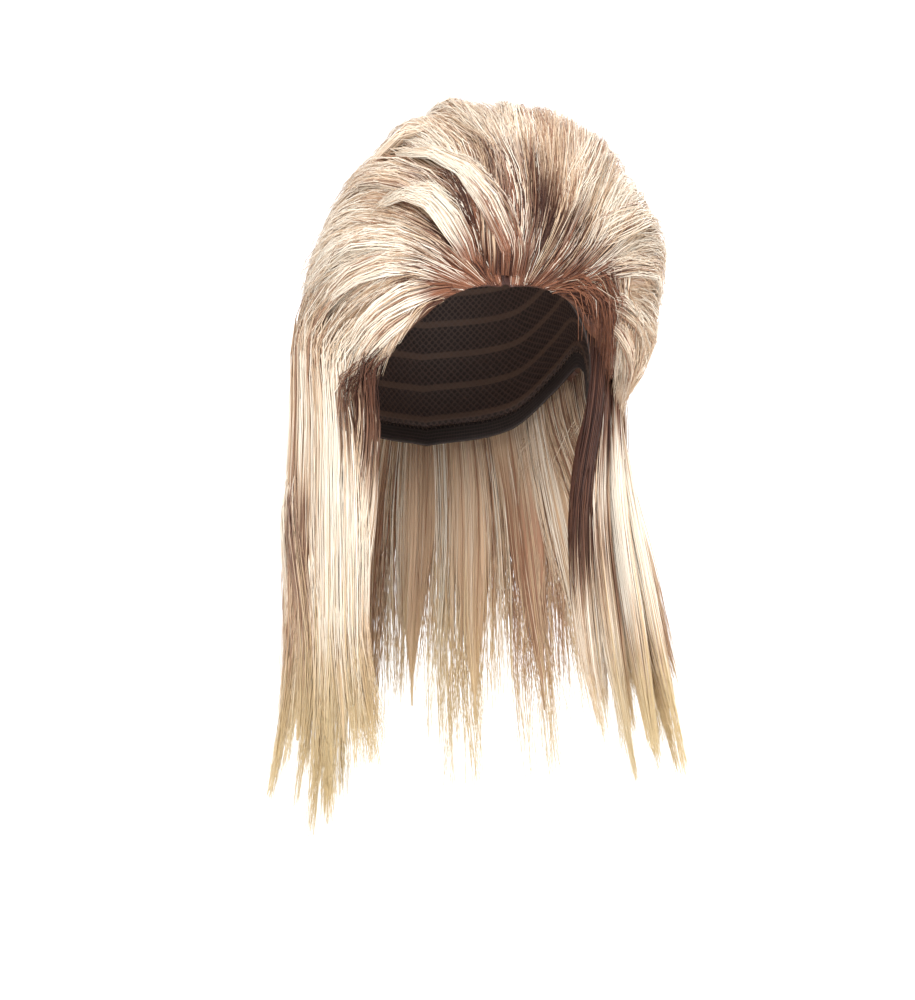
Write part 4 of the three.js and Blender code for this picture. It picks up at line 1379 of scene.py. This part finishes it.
def ringWall(name, turns, outer, inner, closed):
    # A wall round the head between two grids (turn, row, xyz). closed adds a crown at the end.
    columns, rows = len(turns), outer.shape[1]
    points = np.concatenate([outer.reshape(-1, 3), inner.reshape(-1, 3)]).tolist()

    def at(side, i, j):
        return side * columns * rows + (i % columns) * rows + j

    faces, places = [], []

    def quad(corners, spots):
        faces.append(corners)
        places.extend(spots)

    for i in range(columns):
        for j in range(rows - 1):
            u, v = (i / columns, (i + 1) / columns), (j / (rows - 1), (j + 1) / (rows - 1))
            spots = [(u[0], v[0]), (u[1], v[0]), (u[1], v[1]), (u[0], v[1])]
            quad([at(0, i, j), at(0, i + 1, j), at(0, i + 1, j + 1), at(0, i, j + 1)], spots)
            back = [at(1, i, j), at(1, i, j + 1), at(1, i + 1, j + 1), at(1, i + 1, j)]
            quad(back, [spots[0], spots[3], spots[2], spots[1]])
        u = (i / columns, (i + 1) / columns)
        rim = [at(0, i, 0), at(1, i, 0), at(1, i + 1, 0), at(0, i + 1, 0)]
        quad(rim, [(u[0], 0), (u[0], 0.01), (u[1], 0.01), (u[1], 0)])
        if closed:
            continue
        top = rows - 1
        rim = [at(0, i, top), at(0, i + 1, top), at(1, i + 1, top), at(1, i, top)]
        quad(rim, [(u[0], 1), (u[1], 1), (u[1], 0.99), (u[0], 0.99)])
    if closed:
        for side in (0, 1):
            centre = len(points)
            ring = [points[at(side, i, rows - 1)] for i in range(columns)]
            points.append(np.mean(ring, axis=0).tolist())
            for i in range(columns):
                pair = [at(side, i, rows - 1), at(side, i + 1, rows - 1)]
                pair = pair if side == 0 else pair[::-1]
                quad([*pair, centre], [(i / columns, 1), ((i + 1) / columns, 1), (i / columns, 1.02)])
    mesh = bpy.data.meshes.new(name)
    mesh.from_pydata(points, [], faces)
    layer = mesh.uv_layers.new(name="clothMap")
    layer.data.foreach_set("uv", np.array(places, float).ravel())
    mesh.polygons.foreach_set("use_smooth", [True] * len(faces))
    return mesh


def clothGroup():
    # Threads crossing on a cloth map: height and a mask of the open cells between them
    tree, given, wanted, _ = newGroup(
        "crossedThreads",
        "ShaderNodeTree",
        [("Map", "NodeSocketVector"), ("Around", "NodeSocketFloat"), ("Up", "NodeSocketFloat"),
         ("Slant", "NodeSocketFloat")],
        [("Height", "NodeSocketFloat"), ("Cells", "NodeSocketFloat")],
    )
    parts = addNode(tree, "ShaderNodeSeparateXYZ", Vector=given["Map"])
    u = calculated(tree, "MULTIPLY", parts.outputs["X"], given["Around"])
    v = calculated(tree, "MULTIPLY", parts.outputs["Y"], given["Up"])
    lean = calculated(tree, "MULTIPLY", v, given["Slant"])
    across = calculated(tree, "SUBTRACT", v, calculated(tree, "MULTIPLY", u, given["Slant"]))
    one = calculated(tree, "ABSOLUTE", calculated(tree, "SINE", calculated(tree, "ADD", u, lean)))
    two = calculated(tree, "ABSOLUTE", calculated(tree, "SINE", across))
    open_ = calculated(tree, "MULTIPLY", one, two)
    tree.links.new(calculated(tree, "SUBTRACT", 1.0, open_), wanted["Height"])
    tree.links.new(stepped(tree, open_, 0.2, 0.55), wanted["Cells"])
    return tree


clothThreads = clothGroup()
clothFinish = {
    "net": {"around": 115 * math.pi, "up": 42 * math.pi, "slant": 1.0, "bump": 0.5,
            "thread": linear(74, 54, 46), "open": linear(38, 27, 24), "track": linear(92, 70, 58)},
    "elastic": {"around": 420 * math.pi, "up": 5 * math.pi, "slant": 0.0, "bump": 0.35,
                "thread": linear(56, 44, 40), "open": linear(27, 21, 20)},
}


def clothMaterial(name, look, tracks):
    material, tree, shader = newMaterial(name)
    uv = addNode(tree, "ShaderNodeUVMap", {"uv_map": "clothMap"}).outputs[0]
    weave = tree.nodes.new("ShaderNodeGroup")
    weave.node_tree = clothThreads
    tree.links.new(uv, weave.inputs["Map"])
    for label in ("around", "up", "slant"):
        weave.inputs[label.capitalize()].default_value = look[label]
    place = addNode(tree, "ShaderNodeTexCoord").outputs["Object"]
    blotch = addNode(tree, "ShaderNodeTexNoise", Vector=place, Scale=60.0, Detail=3.0)
    colour = mixedColour(tree, weave.outputs["Cells"], look["thread"], look["open"])
    uneven = calculated(tree, "MULTIPLY", blotch.outputs[0], 0.5)
    shaded = mixedColour(tree, uneven, colour, look["thread"])
    height = weave.outputs["Height"]
    if tracks:
        v = addNode(tree, "ShaderNodeSeparateXYZ", Vector=uv).outputs["Y"]
        wave = calculated(tree, "SINE", calculated(tree, "MULTIPLY", v, tracks * 2 * math.pi))
        rib = stepped(tree, wave, 0.72, 0.9)
        shaded = mixedColour(tree, rib, shaded, look["track"])
        height = calculated(tree, "MAXIMUM", height, rib)
    tree.links.new(shaded, shader.inputs["Base Color"])
    bump = addNode(tree, "ShaderNodeBump", Strength=look["bump"], Distance=0.0004, Height=height)
    tree.links.new(bump.outputs["Normal"], shader.inputs["Normal"])
    rough = calculated(tree, "MULTIPLY_ADD", weave.outputs["Cells"], 0.2, 0.62)
    tree.links.new(rough, shader.inputs["Roughness"])
    return material


def buildCap():
    turns = np.arange(cap["columns"]) * 360 / cap["columns"]
    v = np.linspace(0, 1, cap["rows"] + 1)[:-1]
    edge = edgeDrop(turns) - cap["band"] - cap["joint"]
    edgeAngle = np.degrees(np.arccos(1 - edge / head["halfHeight"]))[:, None]
    down = edgeAngle + (1.5 - edgeAngle) * v
    drop = (1 - np.cos(np.radians(down))) * head["halfHeight"]
    rib = smooth(np.sin(v * cap["tracks"] * 2 * np.pi), 0.55, 0.95)
    outer = headPoint(turns[:, None], drop, cap["wall"])
    inner = headPoint(turns[:, None], drop, -cap["trackRise"] * rib)
    mesh = ringWall("netCap", turns, outer, inner, True)
    mesh.materials.append(clothMaterial("stretch net", clothFinish["net"], cap["tracks"]))
    net = keepPiece("netCap", mesh, "cap_net", "cap")

    turns = np.arange(180) * 2.0
    v = np.linspace(0, 1, 7)
    drop = edgeDrop(turns)[:, None] - cap["band"] * v
    puff = 0.35 * mm * np.sin(v * np.pi) ** 0.5  # the elastic is a little thicker in its middle
    outer = headPoint(turns[:, None], drop, cap["wall"] - 0.3 * mm + puff)
    inner = headPoint(turns[:, None], drop, 0.1 * mm - puff)
    mesh = ringWall("elasticBand", turns, outer, inner, False)
    mesh.materials.append(clothMaterial("woven elastic", clothFinish["elastic"], 0))
    band = keepPiece("elasticBand", mesh, "elastic", "edge_band")
    return net, band


stitches = {"count": 150, "reach": 1.7 * mm, "thread": 0.28 * mm, "proud": 0.1 * mm}


def buildStitches():
    # Zigzag that joins the band to the cap, inside and outside
    turns = np.linspace(0, 360, 4 * stitches["count"], endpoint=True)
    zigzag = np.interp(np.arange(len(turns)) % 4, [0, 1, 2, 3, 4], [-1, 0, 1, 0, -1])
    drop = edgeDrop(turns) - cap["band"] - cap["joint"] / 2 + stitches["reach"] * zigzag
    offsets = (cap["wall"] + stitches["proud"], -stitches["proud"])
    points = np.stack([headPoint(turns, drop, offset) for offset in offsets])
    size = points.shape[:2]
    radius = np.full(size, stitches["thread"])
    thread = bundle(points, radius, np.array([0.5, 0.5]), np.full(size, 0.5))
    material, tree, shader = newMaterial("sewing thread")
    place = addNode(tree, "ShaderNodeTexCoord").outputs["Object"]
    twist = addNode(tree, "ShaderNodeTexNoise", Vector=place, Scale=900.0, Detail=2.0)
    colour = mixedColour(tree, twist.outputs[0], linear(52, 38, 32), linear(116, 92, 78))
    tree.links.new(colour, shader.inputs["Base Color"])
    shader.inputs["Roughness"].default_value = 0.55
    return hairPiece("jointStitches", None, "elastic", material, [thread], [])


netCap, elasticBand = buildCap()
jointStitches = buildStitches()
buildCrownHair()
leftTurns, rightTurns = (None, fan["leftSeam"]), (fan["rightSeam"], None)
buildSideHair(
    "leftSideHair", "left_side_hair", sideHair["leftSeed"], leftTurns, leftSideLocks, leftFalls
)
buildSideHair(
    "rightSideHair", "right_side_hair", sideHair["rightSeed"], rightTurns, rightSideLocks, rightFalls
)
buildBackLayers()
for panelName, panel in longPanels.items():
    buildLongHair(panelName, panel)


# The view of the photograph, a pale studio and soft light
view = {
    "target": Vector((-3.9, 1.1, -185.9)) * mm,
    "forward": Vector((0.2756, 0.9613, 0)),
    "distance": 2.2,
    "lens": 125.7,
}
studio = {"floor": -0.45, "back": 1.6, "corner": 0.6, "halfWidth": 4.0, "front": -4.0,
          "ambient": 0.56, "aim": (0, 0, -0.15)}


def buildCamera():
    data = bpy.data.cameras.new("camera")
    data.lens, data.sensor_width = view["lens"], 36
    camera = bpy.data.objects.new("camera", data)
    forward = view["forward"].normalized()
    camera.location = view["target"] - forward * view["distance"]
    camera.rotation_euler = forward.to_track_quat("-Z", "Y").to_euler()
    data.clip_start, data.clip_end = 0.05, 60
    bpy.context.scene.collection.objects.link(camera)
    bpy.context.scene.camera = camera


def buildStudio():
    # A floor that curves up into a backdrop, square to the camera
    floor, back, corner = studio["floor"], studio["back"], studio["corner"]
    profile = [(studio["front"], floor), (back - corner, floor)]
    for a in np.radians(np.linspace(6, 90, 15)):
        profile.append((back - corner + corner * math.sin(a), floor + corner * (1 - math.cos(a))))
    profile.append((back, floor + 5))
    forward = view["forward"].normalized()
    side = Vector((forward.y, -forward.x, 0)) * studio["halfWidth"]
    points = []
    for along, height in profile:
        for way in (-1, 1):
            points.append(forward * along + side * way + Vector((0, 0, height)))
    faces = [(2 * i, 2 * i + 1, 2 * i + 3, 2 * i + 2) for i in range(len(profile) - 1)]
    mesh = bpy.data.meshes.new("backdrop")
    mesh.from_pydata(points, [], faces)
    mesh.polygons.foreach_set("use_smooth", [True] * len(faces))
    material, _, shader = newMaterial("studio paper")
    shader.inputs["Base Color"].default_value = (0.9, 0.9, 0.9, 1)
    shader.inputs["Roughness"].default_value = 0.9
    mesh.materials.append(material)
    backdrop = bpy.data.objects.new("backdrop", mesh)
    bpy.context.scene.collection.objects.link(backdrop)


lights = [
    {"name": "key", "from": (-0.9, -1.9, 1.15), "size": 1.1, "power": 60},
    {"name": "fill", "from": (1.7, -1.4, 0.2), "size": 1.6, "power": 14},
    {"name": "top", "from": (0.2, 0.3, 1.7), "size": 1.2, "power": 16},
    {"name": "rim", "from": (1.3, 1.0, 0.7), "size": 0.9, "power": 13},
]


def buildLights():
    for light in lights:
        data = bpy.data.lights.new(light["name"], "AREA")
        data.shape, data.size, data.energy = "DISK", light["size"], light["power"]
        made = bpy.data.objects.new(light["name"], data)
        made.location = light["from"]
        aim = Vector(studio["aim"]) - made.location
        made.rotation_euler = aim.to_track_quat("-Z", "Y").to_euler()
        bpy.context.scene.collection.objects.link(made)
    world = bpy.data.worlds.new("studio")
    world.use_nodes = True
    world.node_tree.nodes["Background"].inputs["Color"].default_value = (1, 1, 1, 1)
    world.node_tree.nodes["Background"].inputs["Strength"].default_value = studio["ambient"]
    bpy.context.scene.world = world
    bpy.context.scene.view_settings.view_transform = "Standard"


buildCamera()
buildStudio()
buildLights()
print("studio, camera and lights made")
